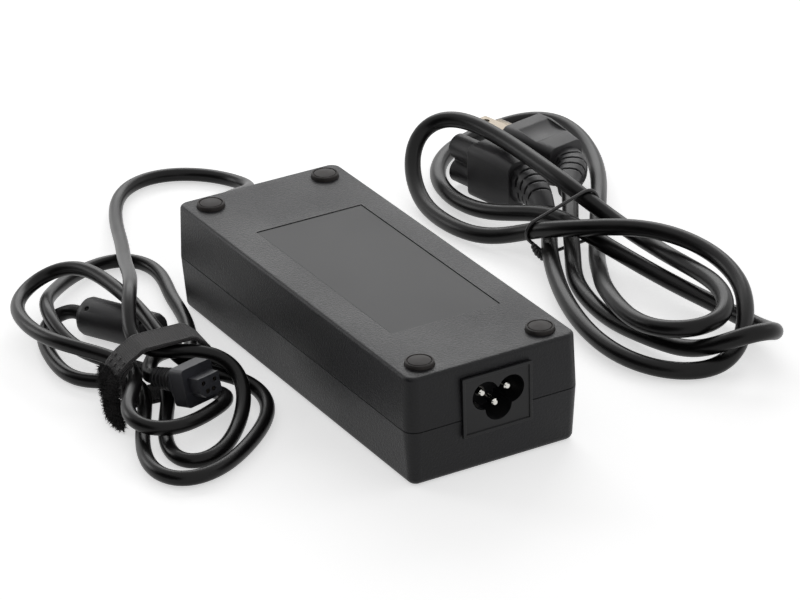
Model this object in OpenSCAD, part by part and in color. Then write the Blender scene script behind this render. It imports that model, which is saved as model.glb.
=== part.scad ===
// Desktop power adapter for a laptop: a sealed two-shell brick with a captive
// low-voltage lead, and the separate mains lead that plugs into it.
// The brick lies with its feet upwards, the way it is put down while packed.

/* [Housing] */
// Width of the brick
body_w = 64; // [60:0.5:72]
// Length of the brick
body_l = 160; // [150:1:180]
// Height of the brick without its feet
body_h = 38.7; // [37:0.1:44]
// Height of the seam between the shells
seam_z = 19.7; // [18:0.1:21]
// Thickness of the housing wall
wall = 2.4; // [2:0.1:3]
// Radius of the upright corners
corner_r = 4.5; // [4:0.1:6]
// Rounding of the edges on the plain side
plain_edge_r = 2.4; // [1.5:0.1:3]
// Rounding of the edges on the label side
label_edge_r = 1.3; // [0.8:0.1:2]
// How far the sides lean in from the seam to either face
draft = 0.6; // [0.2:0.1:1]
// Width of the groove that shows at the seam
seam_gap = 0.3; // [0.2:0.05:0.5]

/* [Label and feet] */
// Width of the label
label_w = 40.4; // [30:0.1:44]
// Length of the label
label_l = 91; // [70:0.5:100]
// Depth of the recess for the label
label_depth = 0.45; // [0.35:0.05:0.7]
// Thickness of the label
label_t = 0.25; // [0.15:0.05:0.3]
// Diameter of a foot
foot_d = 9.6; // [8.5:0.1:11]
// Height of a foot above the housing
foot_h = 1.4; // [1:0.1:2]
// Distance from a foot's middle to the long side
foot_inset_x = 9.6; // [9:0.1:12]
// Distance from a foot's middle to the end
foot_inset_y = 9.2; // [8.6:0.1:12]
// Diameter of the screws under the feet
screw_d = 2.9; // [2.5:0.1:3.2]

/* [Inlet] */
// Width of the inlet's frame
inlet_w = 25.8; // [25:0.1:28]
// Height of the inlet's frame
inlet_h = 21; // [20.5:0.1:22]
// How far the frame stands out of the housing
inlet_proud = 1; // [0.6:0.1:1.5]
// Depth of the socket
socket_depth = 12; // [10:0.5:13]
// Diameter of the socket's pins
inlet_pin_d = 2.4; // [2:0.1:2.6]
// Distance between the live and neutral pins
inlet_pin_pitch = 9.4; // [9:0.1:9.8]

/* [Circuit] */
// Width of the circuit board
board_w = 54; // [50:0.5:55]
// Length of the circuit board
board_l = 130; // [124:0.5:131]
// Thickness of the circuit board
board_t = 1.6; // [1.2:0.1:2]
// Height of the board's underside above the plain face
board_z = 6; // [5:0.1:7]

/* [Output lead] */
// Diameter of the output cord
output_cord_d = 5; // [4.4:0.1:5.2]
// Diameter of the moulded choke
choke_d = 13.6; // [12.5:0.1:14]
// Side of the output plug's square block
plug_block = 13.2; // [12:0.1:14]
// Length of the output plug's ribbed boot
boot_l = 11; // [10:0.5:11.5]
// Width of the cable strap
strap_w = 12.4; // [10:0.1:14]
// Thickness of the cable strap
strap_t = 1.4; // [1.2:0.1:1.6]

/* [Mains lead] */
// Diameter of the mains cord
mains_cord_d = 6; // [5.4:0.1:6.2]
// Length of the connector's moulded body
connector_l = 33; // [30:0.5:34]
// Side of the connector's moulded body that stands upright
connector_h = 20.4; // [19:0.1:21]
// Side of the connector's moulded body that lies flat
connector_w = 17; // [15.5:0.1:17.5]
// Length of the mains plug's moulded body
plug_l = 24; // [22:0.5:26]
// Width of the mains plug's moulded body
plug_w = 21; // [20:0.1:22]
// Height of the mains plug's moulded body
plug_h = 20.2; // [19:0.1:21]
// Thickness of the twisted tie's wire
tie_d = 1.3; // [1:0.1:1.6]

/* [Hidden] */
$fn = 48;
eps = 0.01;

// ---- Housing: places worked out from the sizes above
lip_out = 1.2;              // outer part of the wall that the lip leaves free
lip_h = 2;                  // how far the lip rises past the seam
boss_d = 9.4;               // screw boss
boss_top_z = 24;            // where the bosses of both shells meet
screw_head_d = 5.6;
screw_head_h = 2.2;
screw_seat_z = 30;
screw_l = 16;
foot_seat = 0.8;            // depth of the pocket that holds a foot
feet = [for (x = [-1, 1], y = [-1, 1])
    [x * (body_w / 2 - foot_inset_x), y * (body_l / 2 - foot_inset_y)]];
label_at = [1.1, -2.1];
face_y = body_l / 2;        // outside of either end wall
inner_y = face_y - wall;    // inside of either end wall
lean_room = 0.7;            // what a leaning wall takes up inside

// ---- Inlet, and the nose of the connector that fits it
inlet_x = 0.2;
inlet_roof_gap = 1.9;       // from the inlet's top to the inside of the housing
inlet_z = body_h - wall - inlet_roof_gap - inlet_h / 2;
inlet_rim = 1.2;            // how far the frame covers the edge of its hole
inlet_back = 3;             // floor of the socket
lobe_r = 4.65;              // lobe of the connector's three-lobed nose
lobe_drop = 4.8;            // from the upper lobes to the earth lobe
lobe_top = 2;               // top of the web between the upper lobes
nose_gap = 0.25;            // play of the nose in the socket
pins_x = inlet_x + 0.4;
pins_z = inlet_z + 2.5;
pin_tip_in = 2.4;           // how far the pin tips stay behind the frame
inlet_floor_y = -face_y - inlet_proud + socket_depth;
inlet_back_y = inlet_floor_y + inlet_back;
earth_pin_drop = 4.6;

// ---- Board and its parts
board_y = 1;
board_top = board_z + board_t;
post_at = [[-23, -58], [23, -58], [-23, 60], [23, 60]];
roof_gap = 1.7;             // above the tallest part
part_room = body_h - wall - roof_gap - board_top;
sink_t = 2;
sink_h = part_room - 3;
bulk_d = 18;
bulk_h = part_room;
bridge = [22, 3.5, 15];
output_can = [10, 20];
core_size = [28, 30, part_room - 2];
core_at = [3, 10];
core_leg_d = 10;
core_yoke = 4;
winding_d = 23;
wire_d = 2;

// ---- Output lead. Route points in millimetres, chosen by hand.
relief_tip_y = face_y + 14;
relief_z = 19.5;
cord_run = [[0, 94, 19.5], [0, 100, 19.3], [3, 111, 17.8], [13, 124, 13], [25, 136, 7.5],
    [31, 149, 3.4], [27, 161, 2.6], [17, 171, 2.6], [5, 175, 2.6], [-8, 170, 2.6],
    [-18, 157, 3], [-26, 141, 5], [-36, 117, 9], [-48, 90, 14.5], [-58, 66, 20], [-66, 50, 22.6],
    [-71, 39, 20]];
// The strap sits here; u runs across the bundle, v along it
strap_at = [-69, 23];
strap_turn = -5.7;
function strap_pt(u, v, z) = [
    strap_at[0] + u * cos(strap_turn) - v * sin(strap_turn),
    strap_at[1] + u * sin(strap_turn) + v * cos(strap_turn), z];
// One row per loop of the bundle: where it leaves the strap and comes back,
// the way and pull of the cord as it leaves, the same as it returns, and its
// heights at equal steps between
dc_loops = [
    [strap_pt(8, -6, 15.3), strap_pt(-0.5, -6, 4.3), -8, 46, -119, 118,
        [12.5, 8.5, 4.4, 2.6, 2.6, 2.6, 2.6, 3.2]],
    [strap_pt(-0.5, 6, 4.3), strap_pt(9, 6, 5.2), 132, 97, 58, 190,
        [6.4, 9.2, 4.5, 2.6, 2.6, 2.6, 3.2]],
    [strap_pt(8.5, -6, 4.3), strap_pt(-8.5, -6, 9.8), -36, 42, -130, 76,
        [4.6, 7.6, 8.3, 8.4, 8.8, 9.4]],
    [strap_pt(-8.5, 6, 9.8), strap_pt(6.5, 6, 12.6), 137, 69, 83, 138,
        [13, 12, 11.5, 10, 11, 14.5, 18, 17.5]],
    [strap_pt(10, -6, 9.9), strap_pt(-6.5, -6, 4.3), -12, 68, -121, 140,
        [6.5, 2.8, 2.6, 2.6, 2.6, 2.6, 2.6, 2.6, 3]],
    [strap_pt(-6.5, 6, 4.3), [-71.9, 82.9, 6.8], 174, 31, 120, 19, [2.8, 2.6, 2.6, 3]]];
choke_a = [-69.5, 78.5, 6.8];
choke_b = [-54, 50, 6.8];
boot_at = [-72.2, 17.5, 9.6];
block_at = [-66.6, -3, 14.6];
cord_tail = [choke_b, [-51.8, 46, 6.8], [-55, 39, 7.2], strap_pt(0.3, 6, 9.8),
    [-72.6, 22, 8.8], boot_at];
// Brushed end of the strap, hanging down its left side
pile_path = [[-86.8, 23, 13], [-88.6, 19, 8], [-89.8, 14.5, 4], [-90.8, 11, 0.9]];
pile_w = 12;
pile_t = 2.6;

// ---- Mains lead
tie_at = [104, 43];
function tie_pt(u, v, z) = [tie_at[0] + u, tie_at[1] + v, z];
connector_at = [95.6, 112.7, 0.1];   // corner of the mating face, on the floor
connector_turn = -80;
connector_nose = 12;
connector_end = [106, 60.5, 7.2];
plug_front = [117, 109.4, 0.1];    // corner of the face with the blades
plug_turn = -78.7;
plug_end = [121.2, 69, 9.5];
mains_start = [connector_end, [104.6, 55.6, 4.8], tie_pt(-4, 5, 3.2)];
mains_finish = [tie_pt(4, 5, 6), [113.5, 56, 7.5], [119, 64.5, 9], plug_end];
mains_loops = [
    [tie_pt(-8.5, -5, 3.2), tie_pt(-10.5, -5, 9.9), -118, 185, -44, 146,
        [3.2, 3.2, 3.2, 3.2, 3.2, 6, 10, 14, 17, 17]],
    [tie_pt(-10.5, 5, 6.8), tie_pt(6.5, 5, 16), 150, 52, 91, 157,
        [3.2, 3.2, 3.2, 3.2, 6.5, 14, 19.5, 21.5, 21, 18]],
    [tie_pt(11.5, -5, 10.5), tie_pt(5.5, -5, 3.2), -82, 165, -128, 126,
        [7.2, 9.8, 10.9, 7.5, 5, 6.3, 5.3, 4.8, 5, 3.2]],
    [tie_pt(11.5, 5, 8.5), tie_pt(-4, 5, 10.2), 53, 180, 121, 121,
        [6.6, 8.4, 9, 7.5, 3.2, 3.2, 3.2, 3.2, 3.2, 3.7]],
    [tie_pt(-4, -5, 9), tie_pt(-1, -5, 3.2), -74, 210, -127, 106,
        [4, 6, 9, 12.5, 15.6, 10, 3.2, 3.2, 3.2, 3.2, 3.2]]];

// ---- Cords: curves, settling and the swept tube
loop_steps = 12;            // points worked out per loop; rings are twice as many
skin_gap = [0.9, 1.7];      // space that settling aims for, output and mains cord
settle_rounds = 60;

function unit(v) = v / norm(v);
function clamp01(x) = min(max(x, 0), 1);
function total(list) = len(list) == 0 ? [0, 0, 0] : [for (q = list) 1] * list;

// Height t of the way along a list of heights, with level ends to each step
function height_at(h, t) =
    let (n = len(h) - 1, i = min(floor(t * n), n - 1), w = (1 - cos(180 * (t * n - i))) / 2)
    h[i] * (1 - w) + h[i + 1] * w;

// One loop of a bundle: a cubic curve in plan, with its heights
function loop_pts(l, n) =
    let (p0 = [l[0][0], l[0][1]], p3 = [l[1][0], l[1][1]],
        p1 = p0 + l[3] * [cos(l[2]), sin(l[2])],
        p2 = p3 + l[5] * [cos(l[4]), sin(l[4])],
        h = concat([l[0][2]], l[6], [l[1][2]]))
    [for (i = [0:n]) let (t = i / n, s = 1 - t,
        q = s * s * s * p0 + 3 * s * s * t * p1 + 3 * s * t * t * p2 + t * t * t * p3)
        [q[0], q[1], height_at(h, t)]];

// Slope of the curve at point i, weighted by the distances either side
function slope_at(p, i) =
    let (n = len(p))
    i == 0 ? unit(p[1] - p[0]) :
    i == n - 1 ? unit(p[n - 1] - p[n - 2]) :
    let (a = norm(p[i] - p[i - 1]), b = norm(p[i + 1] - p[i]))
    ((p[i + 1] - p[i]) / b * a + (p[i] - p[i - 1]) / a * b) / (a + b);

// Smooth curve through the points, k rings to a step
function curve(p, k) = concat(
    [for (i = [0:len(p) - 2]) let (d = norm(p[i + 1] - p[i]),
        m0 = slope_at(p, i) * d, m1 = slope_at(p, i + 1) * d)
        for (j = [0:k - 1]) let (t = j / k, t2 = t * t, t3 = t2 * t)
            (2 * t3 - 3 * t2 + 1) * p[i] + (t3 - 2 * t2 + t) * m0
                + (3 * t2 - 2 * t3) * p[i + 1] + (t3 - t2) * m1],
    [p[len(p) - 1]]);

function softened(p) = [for (i = [0:len(p) - 1])
    i == 0 || i == len(p) - 1 ? p[i] : (p[i - 1] + 2 * p[i] + p[i + 1]) / 4];

// Push between stretch a-b and stretch c-d where they are closer than reach:
// [share that falls on b, push]. Strands that cross at one height part
// upwards or downwards, as rise says.
function push(a, b, c, d, reach, rise) =
    let (u = b - a, v = d - c, r = a - c, uu = u * u, vv = v * v, uv = u * v,
        vr = v * r, ur = u * r, den = uu * vv - uv * uv,
        s0 = den > 1e-9 ? clamp01((uv * vr - ur * vv) / den) : 0,
        t0 = (uv * s0 + vr) / vv, t = clamp01(t0),
        s = t0 < 0 ? clamp01(-ur / uu) : t0 > 1 ? clamp01((uv - ur) / uu) : s0,
        w = a + u * s - c - v * t, n = norm(w))
    n >= reach ? [] : [[s, (n < 0.5 ? [0, 0, rise] : w / n) * (reach - n) / 2]];

// Sum of the pushes on both ends of every stretch, from the cord's other
// stretches and from the fixed pieces near it
function pushes(p, base, d, gap, fixed) =
    let (n = len(p) - 1,
        mid = [for (i = [0:n - 1]) (p[i] + p[i + 1]) / 2],
        half = [for (i = [0:n - 1]) norm(p[i + 1] - p[i]) / 2])
    [for (i = [0:n - 1]) let (
        own = [for (j = [0:n - 1]) if (abs(i - j) > 2
                && norm(mid[i] - mid[j]) < half[i] + half[j] + d + gap)
            each push(p[i], p[i + 1], p[j], p[j + 1], d + gap,
                base[i][2] + base[i + 1][2] >= base[j][2] + base[j + 1][2] ? 1 : -1)],
        other = [for (f = fixed)
            each [for (q = push(p[i], p[i + 1], f[0], f[1], d / 2 + f[2] + gap, 1))
                [q[0], 2 * q[1]]]],
        both = concat(own, other))
        [total([for (q = both) q[1] * (1 - q[0])]), total([for (q = both) q[1] * q[0]])]];

// The strands of a bundle, moved apart until they lie beside and over each
// other. The ends, where held says so, stay where they are.
function shifted(base, shift, d) = [for (i = [0:len(base) - 1])
    let (q = base[i] + shift[i]) [q[0], q[1], max(q[2], d / 2 + 0.1)]];
function settled(base, d, gap, fixed, held, rounds, shift = []) =
    let (n = len(base), now = len(shift) == 0 ? [for (i = [0:n - 1]) [0, 0, 0]] : shift)
    rounds == 0 ? shifted(base, now, d) :
    let (f = pushes(shifted(base, now, d), base, d, gap, fixed),
        next = [for (i = [0:n - 1])
            i < held[0] || i >= n - held[1] ? [0, 0, 0] :
            let (q = (now[i - 1] + 2 * now[i] + now[i + 1]) / 4 + f[i][0] + f[i - 1][1])
            [q[0], q[1], max(q[2], d / 2 + 0.1 - base[i][2])]])
    settled(base, d, gap, fixed, held, rounds - 1, next);

// Least gap between a cord's own strands, measured on its stretches
function own_gap(p, d) =
    let (n = len(p) - 1) min([for (i = [0:n - 4]) for (j = [i + 3:n - 1])
        if (norm(p[i] - p[j]) < 4 * d)
            for (q = push(p[i], p[i + 1], p[j], p[j + 1], 4 * d, 1)) 4 * d - 2 * norm(q[1])]) - d;

// A tube of n sides along the rings, with its own radius or section at each
function frames(p) =
    let (n = len(p), t = [for (i = [0:n - 1]) unit(p[min(i + 1, n - 1)] - p[max(i - 1, 0)])],
        u0 = unit(cross(t[0], abs(t[0][2]) < 0.9 ? [0, 0, 1] : [1, 0, 0])))
    [for (i = 0, u = u0; i < n; i = i + 1,
        u = i < n ? unit(u - (u * t[i]) * t[i]) : u) [t[i], u, cross(t[i], u)]];

module skin(rings) {
    n = len(rings);
    m = len(rings[0]);
    polyhedron(
        [for (r = rings) each r],
        concat(
            [for (i = [0:n - 2]) for (j = [0:m - 1]) let (k = (j + 1) % m)
                each [[i * m + j, i * m + k, (i + 1) * m + k],
                    [i * m + j, (i + 1) * m + k, (i + 1) * m + j]]],
            [for (j = [1:m - 2]) [0, j + 1, j]],
            [for (j = [1:m - 2]) [(n - 1) * m, (n - 1) * m + j, (n - 1) * m + j + 1]]),
        convexity = 10);
}

module tube(p, d, sides, from = 0, to = -1) {
    f = frames(p);
    last = to < 0 ? len(p) - 1 : to;
    skin([for (i = [from:last]) [for (j = [0:sides - 1]) let (a = -360 * j / sides)
        p[i] + (f[i][1] * cos(a) + f[i][2] * sin(a)) * d / 2]]);
}

// ---- The two leads' full routes
function dc_route() = curve(concat(cord_run, [strap_pt(-5.5, 6, 14.9), strap_pt(1, 0, 15)],
    [for (l = dc_loops) each loop_pts(l, l == dc_loops[5] ? 8 : loop_steps)], [choke_a]), 2);
function tail_route() = curve(cord_tail, 3);
function dc_fixed() = concat(
    [[choke_a, choke_b, choke_d / 2],
     [boot_at, (boot_at + block_at) / 2, 3.9],
     [(boot_at + block_at) / 2, boot_at * 0.2 + block_at * 0.8, 7.2]],
    [let (t = tail_route()) for (i = [0:len(t) - 2]) [t[i], t[i + 1], output_cord_d / 2]],
    [for (v = [-5, 0, 5]) [strap_pt(-14, v, 0), strap_pt(14, v, 0), strap_t / 2]],
    [for (q = [[-13.9, 5.4], [17.9, -5.4]]) [strap_pt(q[0], q[1], 3), strap_pt(q[0], q[1], 11), 0.8]],
    [for (v = [-5, 0, 5]) [pile_path[0] + [0, v, 0], pile_path[3] + [0, v, 0], 0.6 * pile_t]],
    [for (z = [6, 14]) [[6 - body_w / 2, -face_y, z], [6 - body_w / 2, face_y, z], 6]]);
function dc_cord() = settled(dc_route(), output_cord_d, skin_gap[0], dc_fixed(), [6, 3], settle_rounds);
run_rings = 2 * len(cord_run);   // the ring where the free stretch meets the bundle

function local(at, turn, x, y, z) = [
    at[0] + x * cos(turn) - y * sin(turn), at[1] + x * sin(turn) + y * cos(turn), at[2] + z];
connector_mid = connector_w / 2;
plug_mid = plug_w / 2;
function mains_route() = softened(curve(concat(mains_start,
    [for (l = mains_loops) each loop_pts(l, loop_steps)], mains_finish), 2));
function mains_fixed() = [
    for (z = [8.8, 10.6]) each [[local(connector_at, connector_turn, 8, connector_mid, z),
     local(connector_at, connector_turn, 26, connector_mid, z), 9]],
    [local(connector_at, connector_turn, connector_l, connector_mid, 9.6),
     connector_end + [0.5, 3.5, 1.6], 6],
    [local(plug_front, plug_turn, 6, plug_mid, 10.5),
     local(plug_front, plug_turn, 18, plug_mid, 10.5), 11],
    [local(plug_front, plug_turn, plug_l, plug_mid, 10.4), plug_end + [1.8, 3, 0.1], 5.5],
    for (v = [-1, 1]) each [[tie_pt(-15, v, 0), tie_pt(15, v, 0), tie_d / 2]]];
function mains_cord_pts() = settled(mains_route(), mains_cord_d, skin_gap[1], mains_fixed(), [3, 4],
    settle_rounds);

// ---- Housing
// A quarter of a half shell's rim: upright pillar with a rounded end
module pillar(r, z0, z1, edge, lean) {
    e = min(edge, r - lean - 0.05);
    rotate_extrude($fn = 32)
        polygon(concat([[0, z0], [r, z0]],
            [for (a = [0:15:90]) [r - lean - e + e * cos(a), z1 - e + e * sin(a)]],
            [[0, z1]]));
}
module half_box(r, z0, z1, edge, lean) {
    hull()
        for (x = [-1, 1], y = [-1, 1])
            translate([x * (body_w / 2 - corner_r), y * (face_y - corner_r), 0])
                pillar(r, z0, z1, edge, lean);
}
// Solid that the lip fills, less its cavity
module lip_ring(out, z0, z1) {
    difference() {
        linear_extrude(z1 - z0)
            round_rect(body_w - 2 * out, body_l - 2 * out, corner_r - out);
        translate([0, 0, -1])
            linear_extrude(z1 - z0 + 2)
                round_rect(body_w - 2 * wall, body_l - 2 * wall, corner_r - wall);
    }
}
module round_rect(w, l, r) {
    square([w - 2 * r, l], center = true);
    square([w, l - 2 * r], center = true);
    for (x = [-1, 1], y = [-1, 1])
        translate([x * (w / 2 - r), y * (l / 2 - r)])
            circle(r);
}
module wall_cutouts() {
    // Hole for the inlet's neck
    translate([inlet_x, -face_y, inlet_z])
        cube([inlet_w - 2 * inlet_rim, 3 * wall, inlet_h - 2 * inlet_rim], center = true);
    // Hole for the strain relief's neck
    translate([0, face_y, relief_z])
        cube([11, 3 * wall, 9], center = true);
}

module label_shell() {
    color("#505153")
    difference() {
        union() {
            difference() {
                translate([0, 0, seam_z])
                    half_box(corner_r, seam_gap / 2, body_h - seam_z, label_edge_r, draft);
                translate([0, 0, seam_z])
                    half_box(corner_r - wall, -1, body_h - seam_z - wall, 0.5, draft);
            }
            for (p = feet)
                translate([p[0], p[1], boss_top_z])
                    cylinder(d = boss_d, h = body_h - wall - boss_top_z + 0.5);
        }
        // Rebate that takes the other shell's lip
        translate([0, 0, seam_z - 1])
            lip_ring(lip_out - 0.1, 0, lip_h + 1);
        translate([label_at[0], label_at[1], body_h])
            cube([label_w + 0.4, label_l + 0.4, 2 * label_depth], center = true);
        for (p = feet)
            translate([p[0], p[1], 0]) {
                translate([0, 0, body_h - foot_seat])
                    cylinder(d = foot_d + 0.3, h = 3);
                translate([0, 0, screw_seat_z])
                    cylinder(d = screw_head_d + 0.8, h = body_h);
                translate([0, 0, boss_top_z - 1])
                    cylinder(d = screw_d + 0.4, h = body_h);
            }
        wall_cutouts();
    }
}

module plain_shell() {
    color("#3b3a3a")
    difference() {
        union() {
            difference() {
                translate([0, 0, seam_z])
                    mirror([0, 0, 1])
                        half_box(corner_r, seam_gap / 2, seam_z, plain_edge_r, 2 * draft);
                translate([0, 0, seam_z])
                    mirror([0, 0, 1])
                        half_box(corner_r - wall, -1, seam_z - wall, 0.5, 2 * draft);
            }
            translate([0, 0, seam_z - 3])
                lip_ring(lip_out, 0, lip_h + 3);
            for (p = feet)
                translate([p[0], p[1], wall - 0.5])
                    cylinder(d = boss_d, h = boss_top_z - wall + 0.5);
            for (p = post_at)
                translate([p[0], p[1], wall - 0.5])
                    cylinder(d = 6, h = board_z - wall + 0.5);
        }
        for (p = feet)
            translate([p[0], p[1], screw_seat_z - screw_l - 1])
                cylinder(d = screw_d + 0.04, h = body_h);
        wall_cutouts();
    }
}

module rating_label() {
    color("#5e5e60")
    translate([label_at[0] - label_w / 2, label_at[1] - label_l / 2, body_h - label_depth])
        cube([label_w, label_l, label_t]);
}

module cover_screws() {
    color("#b9bcbf")
    for (p = feet)
        translate([p[0], p[1], screw_seat_z])
            difference() {
                union() {
                    translate([0, 0, -screw_l])
                        cylinder(d = screw_d, h = screw_l + 0.5);
                    cylinder(d = screw_head_d, h = screw_head_h);
                }
                // Cross recess
                for (a = [0, 90])
                    rotate([0, 0, a])
                        translate([0, 0, screw_head_h])
                            cube([3.2, 0.8, 2.4], center = true);
            }
}

module rubber_foot(i) {
    p = feet[i - 1];
    color("#4a4340")
    translate([p[0], p[1], body_h - foot_seat])
        rotate_extrude()
            polygon([[0, 0], [foot_d / 2, 0], [foot_d / 2, foot_seat + foot_h - 0.6],
                [foot_d / 2 - 0.4, foot_seat + foot_h - 0.2],
                [foot_d * 0.42, foot_seat + foot_h - 0.2], [foot_d * 0.4, foot_seat + foot_h],
                [0, foot_seat + foot_h]]);
}

// ---- Inlet
// Three-lobed outline of the socket and of the nose that fits it
module lobes(grow) {
    for (x = [-1, 1])
        translate([x * inlet_pin_pitch / 2, 0])
            circle(lobe_r + grow);
    translate([0, -lobe_drop])
        circle(lobe_r + grow);
    translate([-inlet_pin_pitch / 2, -lobe_drop])
        square([inlet_pin_pitch, lobe_drop + lobe_top]);
}
inlet_pins = [[-inlet_pin_pitch / 2, 0], [inlet_pin_pitch / 2, 0], [0, -earth_pin_drop]];

module inlet_body() {
    color("#2b2b2d")
    difference() {
        union() {
            translate([inlet_x - inlet_w / 2, -face_y - inlet_proud, inlet_z - inlet_h / 2])
                cube([inlet_w, inlet_proud, inlet_h]);
            translate([inlet_x - inlet_w / 2 + inlet_rim, -face_y - eps,
                    inlet_z - inlet_h / 2 + inlet_rim])
                cube([inlet_w - 2 * inlet_rim, wall + lean_room + 2 * eps, inlet_h - 2 * inlet_rim]);
            translate([inlet_x - inlet_w / 2, -inner_y + lean_room, inlet_z - inlet_h / 2])
                cube([inlet_w, inlet_back_y + inner_y - lean_room, inlet_h]);
        }
        // Shallow panel inside the frame
        translate([inlet_x, -face_y - inlet_proud, inlet_z])
            cube([inlet_w - 2, 0.8, inlet_h - 2], center = true);
        translate([pins_x, inlet_floor_y, pins_z])
            rotate([90, 0, 0])
                linear_extrude(socket_depth + 1)
                    lobes(nose_gap);
        for (q = inlet_pins)
            translate([pins_x + q[0], inlet_floor_y - 1, pins_z + q[1]])
                rotate([-90, 0, 0])
                    cylinder(d = inlet_pin_d + 1, h = inlet_back + 3);
    }
}

module inlet_pin(i) {
    q = inlet_pins[i];
    tip_y = -face_y - inlet_proud + pin_tip_in;
    color("#d8dadc")
    translate([pins_x + q[0], 0, pins_z + q[1]])
        rotate([-90, 0, 0]) {
            translate([0, 0, tip_y])
                cylinder(d1 = inlet_pin_d - 0.8, d2 = inlet_pin_d, h = 0.4);
            translate([0, 0, tip_y + 0.4])
                cylinder(d = inlet_pin_d, h = inlet_floor_y - tip_y - 0.4);
            translate([0, 0, inlet_floor_y])
                cylinder(d = inlet_pin_d + 1, h = inlet_back);
            translate([0, 0, inlet_back_y])
                cylinder(d = wire_d, h = 4);
        }
}
module inlet_live_pin() { inlet_pin(0); }
module inlet_neutral_pin() { inlet_pin(1); }
module inlet_earth_pin() { inlet_pin(2); }

// ---- Board and its parts
module circuit_board() {
    color("#2f6b45")
    translate([-board_w / 2, board_y - board_l / 2, board_z])
        cube([board_w, board_l, board_t]);
}

module on_board(x, y) {
    translate([x, y, board_top])
        children();
}

module fuse() {
    color("#6b3f2a")
    on_board(-19, -54)
        cylinder(d = 8.5, h = 8);
}

module x_capacitor() {
    color("#d9a441")
    on_board(15, -53)
        translate([-9, -4.25, 0])
            cube([18, 8.5, 15]);
}

choke_core_r = [6, 10];
choke_core_h = 8;
choke_at = [-13, -36];
module line_choke_core() {
    color("#5a5f55")
    on_board(choke_at[0], choke_at[1])
        translate([0, 0, 1.2])
            rotate_extrude()
                translate([choke_core_r[0], 0])
                    square([choke_core_r[1] - choke_core_r[0], choke_core_h]);
}

module line_choke_winding() {
    color("#b8672f")
    on_board(choke_at[0], choke_at[1])
        for (a = [0, 180])
            rotate([0, 0, a - 62])
                rotate_extrude(angle = 124)
                    difference() {
                        translate([choke_core_r[0] - 1.2, 0])
                            square([choke_core_r[1] - choke_core_r[0] + 2.4, choke_core_h + 2.4]);
                        translate([choke_core_r[0], 1.2])
                            square([choke_core_r[1] - choke_core_r[0], choke_core_h]);
                    }
}

module bridge_rectifier() {
    color("#26272a")
    on_board(14, -39)
        translate([-bridge[0] / 2, -bridge[1] / 2, 0])
            difference() {
                cube(bridge);
                translate([bridge[0] / 2, -1, bridge[2] - 4.5])
                    rotate([-90, 0, 0])
                        cylinder(d = 3.2, h = bridge[1] + 2);
            }
}

module bulk_capacitor() {
    color("#2c3350")
    on_board(14, -22)
        difference() {
            cylinder(d = bulk_d, h = bulk_h);
            // Crimped neck and scored vent
            translate([0, 0, 3])
                rotate_extrude()
                    translate([bulk_d / 2, 0])
                        circle(0.8);
            for (a = [0, 90])
                rotate([0, 0, a])
                    translate([-bulk_d / 3, -0.2, bulk_h - 0.3])
                        cube([2 * bulk_d / 3, 0.4, 1]);
        }
}

primary_sink_x = -24;
module primary_heat_sink() {
    color("#c3c6c8")
    on_board(primary_sink_x, 0) {
        translate([-sink_t / 2, -22, 0])
            cube([sink_t, 56, sink_h]);
        translate([-sink_t / 2, -22, sink_h - sink_t])
            cube([9, 56, sink_t]);
    }
}

module power_package() {
    difference() {
        cube([4.5, 10, 15]);
        translate([-1, 5, 12])
            rotate([0, 90, 0])
                cylinder(d = 3.4, h = 8);
    }
    for (y = [2.4, 5, 7.6])
        translate([1.8, y - 0.4, -3])
            cube([0.8, 0.8, 3.2]);
}

module switch_transistor() {
    color("#222326")
    on_board(primary_sink_x + sink_t / 2, -12)
        translate([0, 0, 3])
            power_package();
}

module transformer_core() {
    color("#4a4a4c")
    on_board(core_at[0], core_at[1]) {
        difference() {
            translate([-core_size[0] / 2, -core_size[1] / 2, 0])
                cube(core_size);
            translate([-core_size[0], -core_size[1] / 2 + core_yoke, core_yoke])
                cube([2 * core_size[0], core_size[1] - 2 * core_yoke, core_size[2] - 2 * core_yoke]);
        }
        translate([0, 0, core_yoke / 2])
            cylinder(d = core_leg_d, h = core_size[2] - core_yoke);
    }
}

winding_room = core_size[1] - 2 * core_yoke;
module transformer_winding() {
    color("#d8b53c")
    on_board(core_at[0], core_at[1])
        translate([0, 0, core_yoke])
            difference() {
                cylinder(d = min(winding_d, winding_room), h = core_size[2] - 2 * core_yoke);
                translate([0, 0, -1])
                    cylinder(d = core_leg_d, h = core_size[2]);
            }
}

module optocoupler() {
    color("#1f2022")
    on_board(21, 4)
        translate([-3.2, -4.5, 0])
            cube([6.4, 9, 4]);
}

secondary_sink_x = 24;
module secondary_heat_sink() {
    color("#c3c6c8")
    on_board(secondary_sink_x, 0)
        translate([-sink_t / 2, 14, 0])
            cube([sink_t, 40, sink_h]);
}

module rectifier_diode() {
    color("#222326")
    on_board(secondary_sink_x - sink_t / 2, 38)
        mirror([1, 0, 0])
            translate([0, 0, 3])
                power_package();
}

module output_capacitor(i) {
    color("#1d6f54")
    on_board(-28 + 12 * i, 44)
        difference() {
            cylinder(d = output_can[0], h = output_can[1]);
            translate([0, 0, 2.4])
                rotate_extrude()
                    translate([output_can[0] / 2, 0])
                        circle(0.6);
        }
}

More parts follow.
